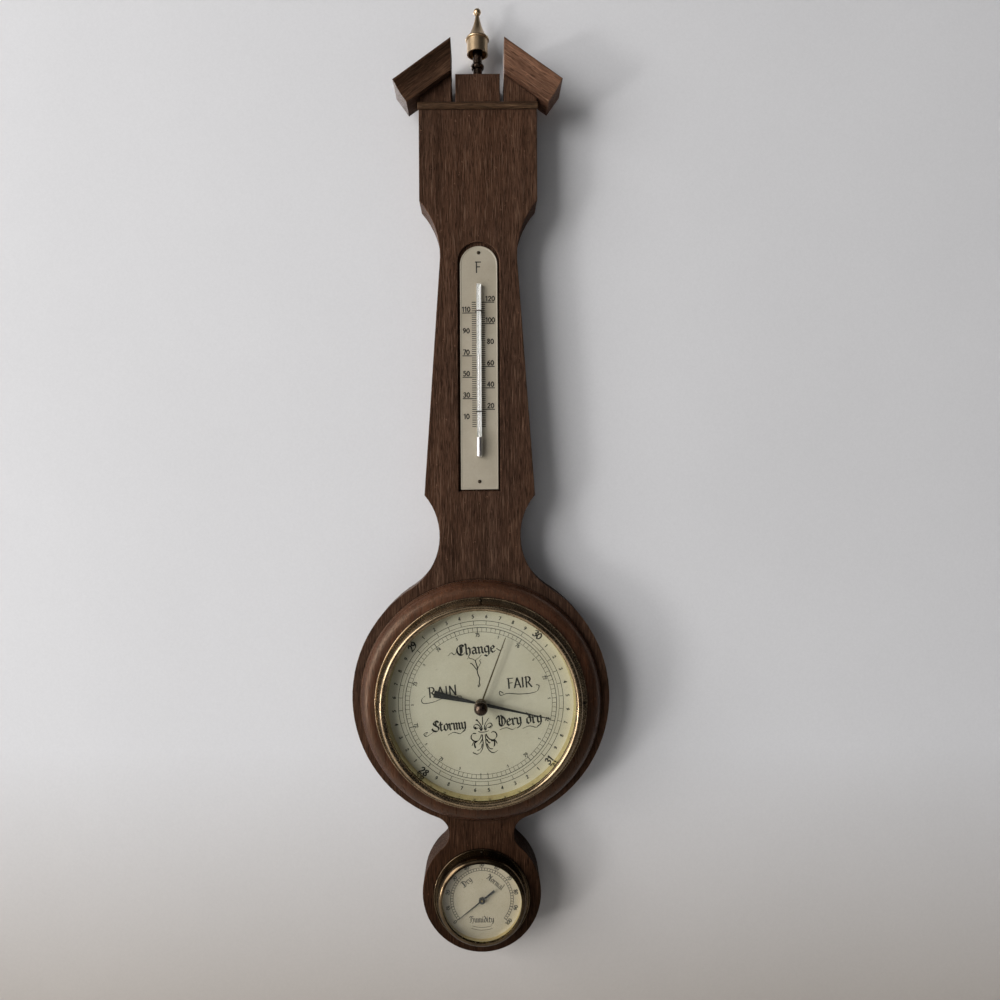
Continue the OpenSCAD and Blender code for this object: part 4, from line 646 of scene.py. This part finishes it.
GOTHIC = {
    "a": (0.66, [("l", [(0.06, 0.84), (0.22, 0.99), (0.46, 0.82), (0.46, 0.16), (0.60, 0.03)]),
                 ("l", [(0.46, 0.62), (0.10, 0.44), (0.08, 0.18), (0.22, 0.02), (0.46, 0.18)])]),
    "d": (0.64, [("l", [(0.02, 1.52), (0.30, 1.26), (0.50, 0.88), (0.50, 0.22), (0.28, 0.0), (0.06, 0.20),
                        (0.06, 0.74), (0.28, 0.97), (0.50, 0.80)])]),
    "e": (0.58, [("l", [(0.10, 0.46), (0.48, 0.70), (0.30, 0.99), (0.06, 0.76), (0.06, 0.22),
                        (0.26, 0.0), (0.50, 0.16)])]),
    "g": (0.64, [("l", [(0.48, 0.86), (0.26, 0.99), (0.06, 0.78), (0.06, 0.28), (0.22, 0.08),
                        (0.48, 0.26)]),
                 ("l", [(0.40, 1.0), (0.50, 0.92), (0.50, -0.22), (0.28, -0.46), (0.0, -0.30)])]),
    "h": (0.64, [("l", [(-0.04, 1.58), (0.08, 1.44), (0.08, 0.14), (0.20, 0.02)]),
                 ("l", [(0.08, 0.74), (0.34, 0.98), (0.50, 0.80), (0.50, 0.10), (0.30, -0.26)])]),
    "i": (0.36, [("l", [(-0.02, 0.94), (0.10, 0.80), (0.10, 0.16), (0.24, 0.02)]),
                 ("l", [(0.06, 1.34), (0.14, 1.26)])]),
    "l": (0.36, [("l", [(-0.02, 1.58), (0.10, 1.44), (0.10, 0.16), (0.24, 0.02)])]),
    "m": (0.98, [("l", [(-0.02, 0.94), (0.10, 0.80), (0.10, 0.12), (0.20, 0.02)]),
                 ("l", [(0.10, 0.76), (0.32, 0.97), (0.44, 0.82), (0.44, 0.12), (0.54, 0.02)]),
                 ("l", [(0.44, 0.76), (0.66, 0.97), (0.78, 0.82), (0.78, 0.16), (0.92, 0.02)])]),
    "n": (0.66, [("l", [(-0.02, 0.94), (0.10, 0.80), (0.10, 0.12), (0.20, 0.02)]),
                 ("l", [(0.10, 0.76), (0.34, 0.97), (0.46, 0.82), (0.46, 0.16), (0.60, 0.02)])]),
    "o": (0.62, [("l", [(0.30, 0.99), (0.06, 0.78), (0.06, 0.22), (0.28, 0.0), (0.50, 0.22),
                        (0.50, 0.78), (0.28, 0.99)])]),
    "r": (0.50, [("l", [(-0.02, 0.94), (0.10, 0.80), (0.10, 0.16), (0.22, 0.02)]),
                 ("l", [(0.10, 0.74), (0.30, 0.98), (0.44, 0.84)])]),
    "t": (0.48, [("l", [(0.12, 1.28), (0.12, 0.18), (0.26, 0.0), (0.42, 0.14)]),
                 ("l", [(-0.06, 0.92), (0.38, 0.92)])]),
    "u": (0.66, [("l", [(-0.02, 0.94), (0.10, 0.82), (0.10, 0.20), (0.26, 0.02), (0.46, 0.22)]),
                 ("l", [(0.38, 0.96), (0.48, 0.84), (0.48, 0.14), (0.60, 0.02)])]),
    "y": (0.64, [("l", [(-0.02, 0.96), (0.10, 0.82), (0.10, 0.22), (0.26, 0.04), (0.48, 0.24)]),
                 ("l", [(0.40, 1.0), (0.50, 0.90), (0.50, 0.10), (0.34, -0.30), (0.04, -0.44)])]),
    "C": (0.98, [("c", [(0.88, 1.24), (0.62, 1.46), (0.24, 1.26), (0.06, 0.74), (0.24, 0.16),
                        (0.60, 0.0), (0.90, 0.26)]),
                 ("l", [(0.46, 1.40), (0.46, 0.10)]), ("l", [(0.62, 1.22), (0.62, 0.34)])]),
    "D": (0.98, [("c", [(-0.06, 1.30), (0.20, 1.50), (0.66, 1.30), (0.88, 0.78), (0.66, 0.18),
                        (0.24, 0.0), (0.0, 0.22)]),
                 ("l", [(0.30, 1.30), (0.30, 0.12)]), ("l", [(0.46, 1.24), (0.46, 0.24)])]),
    "H": (1.02, [("c", [(-0.10, 1.16), (0.06, 1.46), (0.28, 1.36), (0.24, 0.70), (0.26, 0.16),
                        (0.02, 0.0)]),
                 ("l", [(0.26, 0.74), (0.62, 1.02), (0.84, 0.82), (0.80, 0.20), (0.54, -0.22)]),
                 ("l", [(0.44, 1.48), (0.60, 1.34), (0.80, 1.46)])]),
    "N": (1.06, [("c", [(-0.10, 1.14), (0.06, 1.46), (0.26, 1.30), (0.24, 0.60), (0.20, 0.12),
                        (0.0, 0.0)]),
                 ("c", [(0.24, 1.24), (0.54, 0.90), (0.66, 0.40), (0.80, 0.04), (0.98, 0.10)]),
                 ("l", [(0.88, 1.46), (0.76, 1.34), (0.80, 0.10)])]),
    "S": (0.88, [("c", [(0.82, 1.26), (0.58, 1.48), (0.22, 1.32), (0.20, 1.02), (0.50, 0.76),
                        (0.76, 0.52), (0.74, 0.16), (0.44, -0.02), (0.08, 0.12), (-0.08, 0.38)]),
                 ("l", [(0.46, 1.40), (0.46, 0.84)])]),
    "V": (1.02, [("c", [(-0.12, 1.10), (0.06, 1.44), (0.22, 1.26), (0.20, 0.60), (0.22, 0.20),
                        (0.50, 0.0), (0.84, 0.30), (0.90, 0.84), (0.66, 1.26), (0.40, 1.50)]),
                 ("l", [(0.52, 1.30), (0.52, 0.16)])]),
    " ": (0.44, []),
}


def write(ink, word, letters, at, size, nib=0.20, thin=0.05, slant=40, turn=0.0, gap=0.06, squeeze=1.0):
    """Writes a word whose foot is centred at a point and turned clockwise by an angle."""
    width = sum(letters[letter][0] + gap for letter in word) - gap
    left = -width / 2
    c, s = math.cos(math.radians(-turn)), math.sin(math.radians(-turn))

    def place(p, shift):
        x, y = (p[0] + shift) * size * squeeze, p[1] * size
        return (at[0] + x * c - y * s, at[1] + x * s + y * c)

    for letter in word:
        advance, strokes = letters[letter]
        for kind, knots in strokes:
            path = curve(knots) if kind == "c" else knots
            ink.pen([place(p, left) for p in path], nib * size, thin * size, math.radians(slant - turn))
        left += advance + gap


# Words have their foot outwards where the cosine of their angle is below this
TURN_OVER = -0.05


def write_round(ink, word, letters, radius, angle, size, **pen):
    """Writes a word on a circle, with its foot towards the centre above and away from it below."""
    below = math.cos(math.radians(angle)) < TURN_OVER
    foot = radius + size / 2 if below else radius - size / 2
    turn = angle + 180 if below else angle
    write(ink, word, letters, polar(foot, angle), size, turn=turn, **pen)


# Barometer dial: inches outside and millimetres inside, on a print that is turned a little to the left

DIAL_TURN = 5.0
TENTHS = 40
FIRST_TENTH = 275

# Degrees of the dial for a tenth of an inch and for a millimetre
TENTH_INCH = 9.0
MILLIMETRE = TENTH_INCH / 2.54

LOW_MM, MIDDLE_MM, HIGH_MM = 700, 749.3, 800
INCH_OUTER = 51.8
INCH_INNER = 49.2
MM_OUTER = 47.5
MM_INNER = 44.8
TEN_MM_INNER = 43.9
INCH_FIGURES = 55.7
TENTH_FIGURES = 54.6
MM_FIGURES = 42.9
INCH_PEN = {"nib": 0.21, "thin": 0.09, "slant": 20, "gap": 0.03}
TENTH_PEN = {"nib": 0.22, "thin": 0.13, "slant": 25}
MM_PEN = {"nib": 0.20, "thin": 0.12, "slant": 25, "gap": 0.05}

dial_scale = Ink(DIAL_Z, DIAL_FACE, DIAL_TURN)
dial_figures = Ink(DIAL_Z, DIAL_FACE, DIAL_TURN)
for radius, width in ((INCH_OUTER, 0.34), (INCH_INNER, 0.24), (MM_OUTER, 0.38), (MM_INNER, 0.24)):
    dial_scale.circle(radius, width)
for i in range(TENTHS):
    inches, tenth = divmod(FIRST_TENTH + i, 10)
    angle = (i - TENTHS / 2) * TENTH_INCH
    if tenth == 0:
        dial_scale.tick(angle, INCH_INNER, INCH_OUTER, width=0.40)
        write_round(dial_figures, str(inches), FIGURES, INCH_FIGURES, angle, size=4.2, **INCH_PEN)
    else:
        dial_scale.tick(angle, INCH_INNER, INCH_OUTER, width=0.30)
        write_round(dial_figures, str(tenth), FIGURES, TENTH_FIGURES, angle, size=2.1, **TENTH_PEN)
for reading in range(LOW_MM, HIGH_MM + 1):
    angle = (reading - MIDDLE_MM) * MILLIMETRE
    inside = LOW_MM < reading < HIGH_MM
    if reading % 10 == 0:
        dial_scale.tick(angle, TEN_MM_INNER, MM_OUTER, width=0.42)
        if inside:
            write_round(dial_figures, str(reading // 10), FIGURES, MM_FIGURES, angle, size=2.1, **MM_PEN)
    elif reading % 5 == 0:
        dial_scale.tick(angle, MM_INNER, MM_OUTER, width=0.32)
        write_round(dial_figures, "5", FIGURES, MM_FIGURES, angle, size=1.5, **MM_PEN)
    else:
        dial_scale.tick(angle, MM_INNER, MM_OUTER, width=0.24)
dial_scale.piece("dial_scale", print_ink, "case")
dial_figures.piece("dial_figures", print_ink, "case")

GOTHIC_PEN = {"nib": 0.27, "thin": 0.07}
ROMAN_PEN = {"nib": 0.15, "thin": 0.06, "slant": 12}

dial_words = Ink(DIAL_Z, DIAL_FACE, DIAL_TURN)
write(dial_words, "Change", GOTHIC, (0.0, 31.2), size=4.3, squeeze=1.28, **GOTHIC_PEN)
write(dial_words, "RAIN", ROMAN, (-23.2, 6.6), size=6.0, squeeze=1.15, **ROMAN_PEN)
write(dial_words, "FAIR", ROMAN, (25.6, 7.6), size=6.2, **ROMAN_PEN)
write(dial_words, "Stormy", GOTHIC, (-21.0, -15.0), size=4.3, squeeze=1.12, **GOTHIC_PEN)
write(dial_words, "Very dry", GOTHIC, (23.4, -15.4), size=4.4, squeeze=1.18, **GOTHIC_PEN)

SCROLL_STEPS = 10
SCROLL_THIN = 0.22
SCROLL_SLANT = math.radians(35)


def flourish(*knots, width=0.50):
    """A scroll drawn with the nib of the words."""
    dial_words.pen(curve(knots, SCROLL_STEPS), width, SCROLL_THIN, SCROLL_SLANT)


def leaf(*knots, width):
    """A scroll and its mirror image on the other side of the dial's middle."""
    for side in (-1, 1):
        flourish(*[(side * x, y) for x, y in knots], width=width)


# Swashes round the words
flourish((-34.4, 7.8), (-36.8, 5.6), (-35.8, 3.2), (-30.0, 3.4), (-23.0, 5.2), (-17.0, 4.2), (-12.8, 4.0),
         (-12.0, 5.6), (-14.6, 5.8))
flourish((14.6, 5.0), (12.4, 6.4), (12.8, 3.8), (17.4, 4.6), (24.0, 3.6), (31.0, 3.4), (35.8, 4.4),
         (37.4, 7.6), (35.6, 8.4))
flourish((-37.0, -17.2), (-35.0, -15.2), (-37.4, -16.0), (-35.6, -17.6), (-31.0, -15.0))
flourish((-22.2, -18.0), (-18.6, -16.6), (-14.6, -17.8), (-12.0, -15.6))
flourish((10.4, -17.6), (14.4, -16.8), (18.2, -18.2), (20.4, -17.2))
flourish((24.8, -18.2), (29.0, -17.0), (33.4, -18.2), (36.0, -16.4))
flourish((-17.6, 31.6), (-15.6, 33.2), (-13.8, 31.8), (-12.4, 33.2))
flourish((13.0, 33.4), (15.0, 32.0), (17.0, 33.6))

# Sprig under the upper word
flourish((2.9, 30.0), (1.4, 28.6), (-0.8, 27.2), (-0.6, 24.8), (-0.1, 22.6), (-0.4, 20.2), (0.0, 17.8),
         (0.7, 15.6), (0.2, 13.2), (0.5, 11.2), (-0.4, 10.4), (-0.6, 11.6), width=0.62)
flourish((-5.8, 28.4), (-4.9, 29.4), (-4.3, 28.6), (-2.8, 28.2), (-1.0, 27.0), width=0.4)
flourish((-4.2, 25.6), (-3.0, 24.8), (-1.7, 22.8), (-0.4, 20.8), width=0.55)
flourish((2.6, 27.4), (1.6, 26.6), (2.3, 25.4), (1.2, 23.8), (0.0, 21.8), width=0.4)

# Leaf and scrolls under the centre
flourish((0.2, -8.4), (0.0, -11.0), (-0.1, -13.6), width=0.6)
leaf((3.8, -10.0), (3.0, -11.0), (1.7, -12.8), (0.9, -14.6), (0.6, -16.6), width=0.62)
leaf((3.9, -10.0), (3.2, -10.6), width=1.1)
leaf((4.6, -16.0), (5.7, -14.9), (5.4, -13.4), (4.1, -12.9), (2.4, -13.9), (1.5, -15.6), (1.1, -17.2),
     width=0.62)
leaf((4.9, -14.6), (4.4, -15.6), (3.4, -15.4), width=1.0)
leaf((2.6, -15.2), (2.0, -16.2), (1.6, -17.2), width=0.45)
leaf((0.0, -18.2), (1.6, -18.1), (3.2, -17.6), width=0.55)
leaf((1.5, -19.6), (2.3, -21.6), (3.9, -23.2), (6.0, -23.4), (7.9, -21.8), (7.9, -19.8), (6.6, -18.5),
     (4.9, -18.7), width=0.75)
leaf((5.6, -23.4), (6.3, -24.8), (6.2, -26.4), (5.9, -27.6), width=1.0)
leaf((6.4, -23.4), (7.2, -24.6), (7.9, -26.0), width=0.6)
leaf((4.4, -23.4), (5.0, -24.2), (5.8, -24.0), width=1.0)
leaf((0.8, -19.8), (1.0, -22.4), (0.9, -25.4), (1.7, -28.6), (3.4, -30.9), (5.4, -31.6), (7.8, -30.4),
     width=0.62)
leaf((1.5, -22.8), (2.4, -24.6), (3.4, -25.4), width=0.8)
leaf((1.6, -25.6), (2.2, -27.6), (3.4, -28.9), (4.8, -29.2), width=0.6)
dial_words.piece("dial_words", print_ink, "case")

# Thermometer plate: lines and figures in degrees, on a sheet whose zero is the hanging hole

LOW_DEGREE, TOP_DEGREE, DEGREE_STEP = 4, 120, 2
TOP_LINE = -97.5
DEGREE = 0.685
LINE_START = 1.6
LEFT_SHORT, LEFT_LONG = -4.5, -10.6
RIGHT_SHORT, RIGHT_LONG = 4.1, 10.0
LEFT_LONG_AT = (110, 70, 50, 30)
RIGHT_LONG_AT = (120, 100, 60, 40, 20)
LEFT_FIGURES, RIGHT_FIGURES = -8.0, 7.4
FIGURE_LIFT = 0.8
PLATE_PEN = {"nib": 0.18, "thin": 0.14, "slant": 20, "gap": 0.08}

plate_print = Ink(0.0, PLATE_FACE)
for degree in range(LOW_DEGREE, TOP_DEGREE + 1, DEGREE_STEP):
    z = TOP_LINE - (TOP_DEGREE - degree) * DEGREE
    tens = degree % 10 == 0
    width = 0.60 if tens else 0.50
    plate_print.line((LINE_START, z), (RIGHT_LONG if degree in RIGHT_LONG_AT else RIGHT_SHORT, z), width)
    plate_print.line((LEFT_LONG if degree in LEFT_LONG_AT else LEFT_SHORT, z), (-LINE_START, z), width)
    if tens:
        side = RIGHT_FIGURES if degree % 20 == 0 else LEFT_FIGURES
        write(plate_print, str(degree), FIGURES, (side, z + FIGURE_LIFT), size=3.1, **PLATE_PEN)
write(plate_print, "F", ROMAN, (-0.2, -78.4), size=6.6, nib=0.12, thin=0.11, slant=0, squeeze=0.85)
plate_print.piece("plate_print", print_ink, "case")

# Hygrometer dial, whose print has faded

# Degrees of the dial for one per cent
PERCENT = 2.6

HALF_SCALE = 50
HUMID_OUTER = 20.0
HUMID_INNER = 18.3
TEN_OUTER = 20.6
PERCENT_FIGURES = 22.1
FOOT_ARC = (160, 200)
FOOT_ARC_INSET = 0.5
HUMID_LINE, FOOT_LINE = 0.32, 0.30
PERCENT_PEN = {"nib": 0.20, "thin": 0.12, "slant": 20, "gap": 0.05}
SMALL_PEN = {"nib": 0.20, "thin": 0.08}

tail_print = Ink(TAIL_Z, TAIL_FACE)
for radius in (HUMID_OUTER, HUMID_INNER):
    tail_print.circle(radius, HUMID_LINE, -HALF_SCALE * PERCENT, HALF_SCALE * PERCENT)
    tail_print.circle(radius - FOOT_ARC_INSET, FOOT_LINE, *FOOT_ARC)
for percent in range(0, 2 * HALF_SCALE + 1, 2):
    angle = (percent - HALF_SCALE) * PERCENT
    if percent % 10 == 0:
        tail_print.tick(angle, HUMID_INNER, TEN_OUTER, width=0.52)
        write_round(tail_print, str(percent), FIGURES, PERCENT_FIGURES, angle, size=2.3, **PERCENT_PEN)
    else:
        tail_print.tick(angle, HUMID_INNER, HUMID_OUTER, width=0.38)
write_round(tail_print, "Dry", GOTHIC, radius=14.2, angle=-41, size=2.6, squeeze=1.22, **SMALL_PEN)
write_round(tail_print, "Normal", GOTHIC, radius=13.4, angle=39, size=2.5, squeeze=1.10, **SMALL_PEN)
write(tail_print, "Humidity", GOTHIC, (0.0, -14.6), size=2.6, nib=0.21, thin=0.08, squeeze=1.06)
tail_print.piece("hygrometer_print", faded_ink, "case")


# Thermometer plate with a raised rim, a little smaller than its recess

plate_low, plate_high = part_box("thermometer_plate")
PLATE_BACK = -plate_high[1] / MM
PLATE_ASIDE = 0.1
PLATE_SPREAD = 0.1
PLATE_FOOT_LIFT = 0.25
PLATE_HEAD_DROP = 0.1
ARCH_STEPS = 40
RIM = [(0.75, PLATE_BACK), (0.70, PLATE_FACE - 0.20), (0.78, PLATE_FACE + 0.10), (1.00, PLATE_FACE + 0.26),
       (1.28, PLATE_FACE + 0.20), (1.60, PLATE_FACE + 0.04), (1.90, PLATE_FACE)]


def plate_loop(inset, front):
    """The plate's outline, drawn in by an inset, at a distance from the wall."""
    half = (plate_high[0] - plate_low[0]) / 2 / MM - inset + PLATE_SPREAD
    foot = plate_low[2] / MM + inset + PLATE_FOOT_LIFT
    spring = plate_high[2] / MM - inset - PLATE_HEAD_DROP - half
    outline = [(PLATE_ASIDE - half, foot), (PLATE_ASIDE + half, foot)]
    for i in range(ARCH_STEPS + 1):
        a = math.pi * i / ARCH_STEPS
        outline.append((PLATE_ASIDE + half * math.cos(a), spring + half * math.sin(a)))
    return [(x * MM, -front * MM, z * MM) for x, z in outline]


loops = [plate_loop(inset, front) for inset, front in RIM]
around = len(loops[0])
last = (len(loops) - 1) * around
points = [point for loop in loops for point in loop]
faces = [tuple(range(around - 1, -1, -1)), tuple(range(last, last + around))] + bands(len(loops), around)
plate = piece_of("plate_rimmed", points, faces, plate_silvered, "case")
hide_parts("thermometer_plate")

# Swelling where the tube joins its bulb, as radii and rises from its middle

JOINT_Z = BULB_TOP + 2.0
JOINT_AROUND = 32
SWELLING = [(1.52, -1.3), (1.72, -1.05), (1.92, -0.55), (1.98, 0.0), (1.92, 0.55), (1.72, 1.05), (1.52, 1.3)]

points = []
for radius, rise in SWELLING:
    for i in range(JOINT_AROUND):
        a = 2 * math.pi * i / JOINT_AROUND
        points.append((radius * math.cos(a) * MM, TUBE_Y + radius * math.sin(a) * MM, (JOINT_Z + rise) * MM))
piece_of("tube_joint", points, bands(len(SWELLING), JOINT_AROUND), clear_glass, "case")

# Chain of paired and single plates on pins. Its line is in metres.

chain_low, chain_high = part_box("pull_chain")
CHAIN_Y = (chain_low[1] + chain_high[1]) / 2
CHAIN_Z = (chain_low[2] + chain_high[2]) / 2

PITCH = 1.5
LINK_R = 0.25
SINGLE_PLATE = [(-0.14, 0.14)]
PAIRED_PLATES = [(-0.33, -0.17), (0.17, 0.33)]
PIN_R = 0.16
PIN_FLAT = 0.001
PIN_END = 0.35
END_STEPS = 8


def round_ended(left, right, radius):
    """The outline of a plate with half-round ends about two points of the chain."""
    outline = []
    for middle, start in ((right, -90), (left, 90)):
        for i in range(END_STEPS + 1):
            a = math.radians(start + 180 * i / END_STEPS)
            outline.append((middle + radius * math.cos(a), radius * math.sin(a)))
    return outline


def prism(points, faces, outline, back, front):
    """Adds an outline in (right, up) as a solid between two distances from the chain's middle."""
    first = len(points)
    n = len(outline)
    for depth in (back, front):
        points.extend((x * MM, CHAIN_Y + depth * MM, CHAIN_Z + z * MM) for x, z in outline)
    faces.append(tuple(range(first, first + n)))
    faces.append(tuple(range(first + 2 * n - 1, first + n - 1, -1)))
    for i in range(n):
        j = (i + 1) % n
        faces.append((first + j, first + i, first + n + i, first + n + j))


points = []
faces = []
link_count = int((chain_high[0] / MM - 2 * LINK_R) / PITCH)
joints = [LINK_R + PITCH * i for i in range(link_count + 1)]
for number, (left, right) in enumerate(zip(joints, joints[1:])):
    for back, front in SINGLE_PLATE if number % 2 else PAIRED_PLATES:
        prism(points, faces, round_ended(left, right, LINK_R), back, front)
for place in joints:
    prism(points, faces, round_ended(place, place + PIN_FLAT, PIN_R), -PIN_END, PIN_END)
chain = free_piece("chain_links", points, faces, movement_steel)
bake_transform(chain)
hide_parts("pull_chain")


# Stage, in metres

WALL_X = 1.1
WALL_Y = 0.0006
WALL_TOP = 1.0
WALL_PASS = 0.38
FLOOR_Z = -1.7
FLOOR_END = 3.0

# Heights in millimetres between which painted shade makes the wall darker and warmer downwards
SHADED_LOWER_WALL = (-570, -390)


def flat_look(name, colour):
    """Matt paint with faint clouds and a fine tooth."""
    look = Look(name)
    tone = look.speckle(0.006, 3.0)
    tooth = look.speckle(0.7, 4.0, 0.65)
    ground = look.ramp(tone, (0.30, tuple(c * 0.97 for c in colour)), (0.70, colour))
    look.put(Base_Color=look.mix(0.5, ground, look.ramp(tooth, (0.30, 0.95), (0.70, 1.03)), "MULTIPLY"))
    look.put(Normal=look.bump(tooth, depth=0.10, strength=0.4))
    look.put(Roughness=0.85, Specular_IOR_Level=0.2)
    return look


def wall_look():
    """A pale wall with painted shade that darkens it low down. It is clear from behind and lets some of the
    light behind it through.
    """
    look = flat_look("pale_wall", (0.700, 0.700, 0.725))
    plain = look.shader.inputs["Base Color"].links[0].from_socket
    # Painted shade: the wall grows darker and warmer towards its foot
    lower = look.ramp(look.height(*SHADED_LOWER_WALL), (0.0, (0.62, 0.57, 0.51)), (1.0, 1.0))
    look.put(Base_Color=look.mix(1.0, plain, lower, "MULTIPLY"))
    behind = look.node("NewGeometry").outputs["Backfacing"]
    passed = look.calc("MULTIPLY", look.node("LightPath").outputs["Is Shadow Ray"], WALL_PASS)
    clear = look.plain("Transparent", (1.0, 1.0, 1.0))
    look.cover(look.either(look.calc("MAXIMUM", behind, passed), look.surface(), clear))
    return look.material


def sheet(name, corners, material):
    """A flat sheet of the stage. Each four corners make one face."""
    faces = [tuple(range(i, i + 4)) for i in range(0, len(corners), 4)]
    made = stand(name, mesh_of(name, corners, faces, material))


# The wall has an opening that the board hides, which lets light reach the board's back
OPENING_INSET = 0.0012
OPENING_STEP = 0.004
BACK_DEPTH = 0.0001
LEVEL_EDGE = 0.000001
board = nodes["main_board"]
board_low, board_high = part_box("main_board")
board_points = [board.matrix_world @ vertex.co for vertex in board.data.vertices]
back_edges = []
for edge in board.data.edges:
    first, second = (board_points[i] for i in edge.vertices)
    if min(first.y, second.y) > board_high[1] - BACK_DEPTH and abs(first.z - second.z) > LEVEL_EDGE:
        back_edges.append((first, second))


def half_width(z):
    """Half the width of the board's back at a height."""
    widest = 0.0
    for a, b in back_edges:
        if min(a.z, b.z) <= z <= max(a.z, b.z):
            widest = max(widest, a.x + (b.x - a.x) * (z - a.z) / (b.z - a.z))
    return widest


def opening(z):
    """Half the width of the wall's opening at a height, which stays inside the board's outline."""
    narrowest = min(half_width(z + step) for step in (-OPENING_INSET, 0.0, OPENING_INSET))
    return max(narrowest - OPENING_INSET, 0.0)


opening_foot = board_low[2]
opening_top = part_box("pediment_bead")[0][2] - OPENING_INSET
rows = int((opening_top - opening_foot) / OPENING_STEP)
levels = [opening_foot + (opening_top - opening_foot) * i / rows for i in range(rows + 1)]
wall_rows = [(FLOOR_Z, 0.0), (opening_foot, 0.0)]
wall_rows += [(z, opening(z)) for z in levels]
wall_rows += [(opening_top, 0.0), (WALL_TOP, 0.0)]
wall_corners = []
for (z0, x0), (z1, x1) in zip(wall_rows, wall_rows[1:]):
    if z1 > z0:
        wall_corners += [(-WALL_X, WALL_Y, z0), (-x0, WALL_Y, z0), (-x1, WALL_Y, z1), (-WALL_X, WALL_Y, z1)]
        wall_corners += [(x0, WALL_Y, z0), (WALL_X, WALL_Y, z0), (WALL_X, WALL_Y, z1), (x1, WALL_Y, z1)]
sheet("wall", wall_corners, wall_look())

floor_corners = [(x * FLOOR_END, y * FLOOR_END, FLOOR_Z) for x, y in ((-1, -1), (1, -1), (1, 1), (-1, 1))]
sheet("floor", floor_corners, flat_look("pale_floor", (0.74, 0.73, 0.71)).material)


# Light

AIM = Vector((0.0, 0.0, -0.25))


def lamp(name, at, width, height, power, colour=(1.0, 1.0, 1.0)):
    """A flat lamp that looks at the middle of the part."""
    data = bpy.data.lights.new(name, "AREA")
    data.shape = "RECTANGLE"
    data.size = width
    data.size_y = height
    data.energy = power
    data.color = colour
    made = stand(name, data)
    made.location = at
    made.rotation_euler = (AIM - Vector(at)).to_track_quat("-Z", "Y").to_euler()


lamp("window", (-2.4, -1.75, 0.35), width=2.4, height=2.0, power=100.0, colour=(1.0, 0.99, 0.97))
lamp("low_window", (-3.2, -1.75, -1.3), width=0.5, height=0.5, power=40.0, colour=(1.0, 0.985, 0.96))
lamp("soft_front", (-0.3, -2.0, 0.7), width=1.2, height=1.2, power=2.0, colour=(1.0, 0.98, 0.95))
lamp("soft_back", (-1.6, 2.2, 1.0), width=0.6, height=0.6, power=95.0)

world = bpy.data.worlds.new("room")
bpy.context.scene.world = world
world.use_nodes = True
sky = world.node_tree.nodes["Background"]
sky.inputs["Color"].default_value = (0.86, 0.88, 0.92, 1.0)
sky.inputs["Strength"].default_value = 0.05

# Camera, at the photographed place: close in front of the board and level with its middle

CAMERA_AT = (0.0008, -0.483, -0.2176)
CAMERA_ROLL = math.radians(0.31)

camera_data = bpy.data.cameras.new("camera")
camera_data.sensor_width = 36.0
camera_data.lens = 26.0
camera_data.clip_start = 0.01
camera_data.shift_x = 0.019
camera_data.shift_y = -0.010
camera = stand("camera", camera_data)
level = Matrix.Rotation(math.radians(90), 4, "X")
roll = Matrix.Rotation(CAMERA_ROLL, 4, "Y")
camera.matrix_world = Matrix.Translation(CAMERA_AT) @ roll @ level
bpy.context.scene.camera = camera

bpy.context.scene.view_settings.view_transform = "Standard"
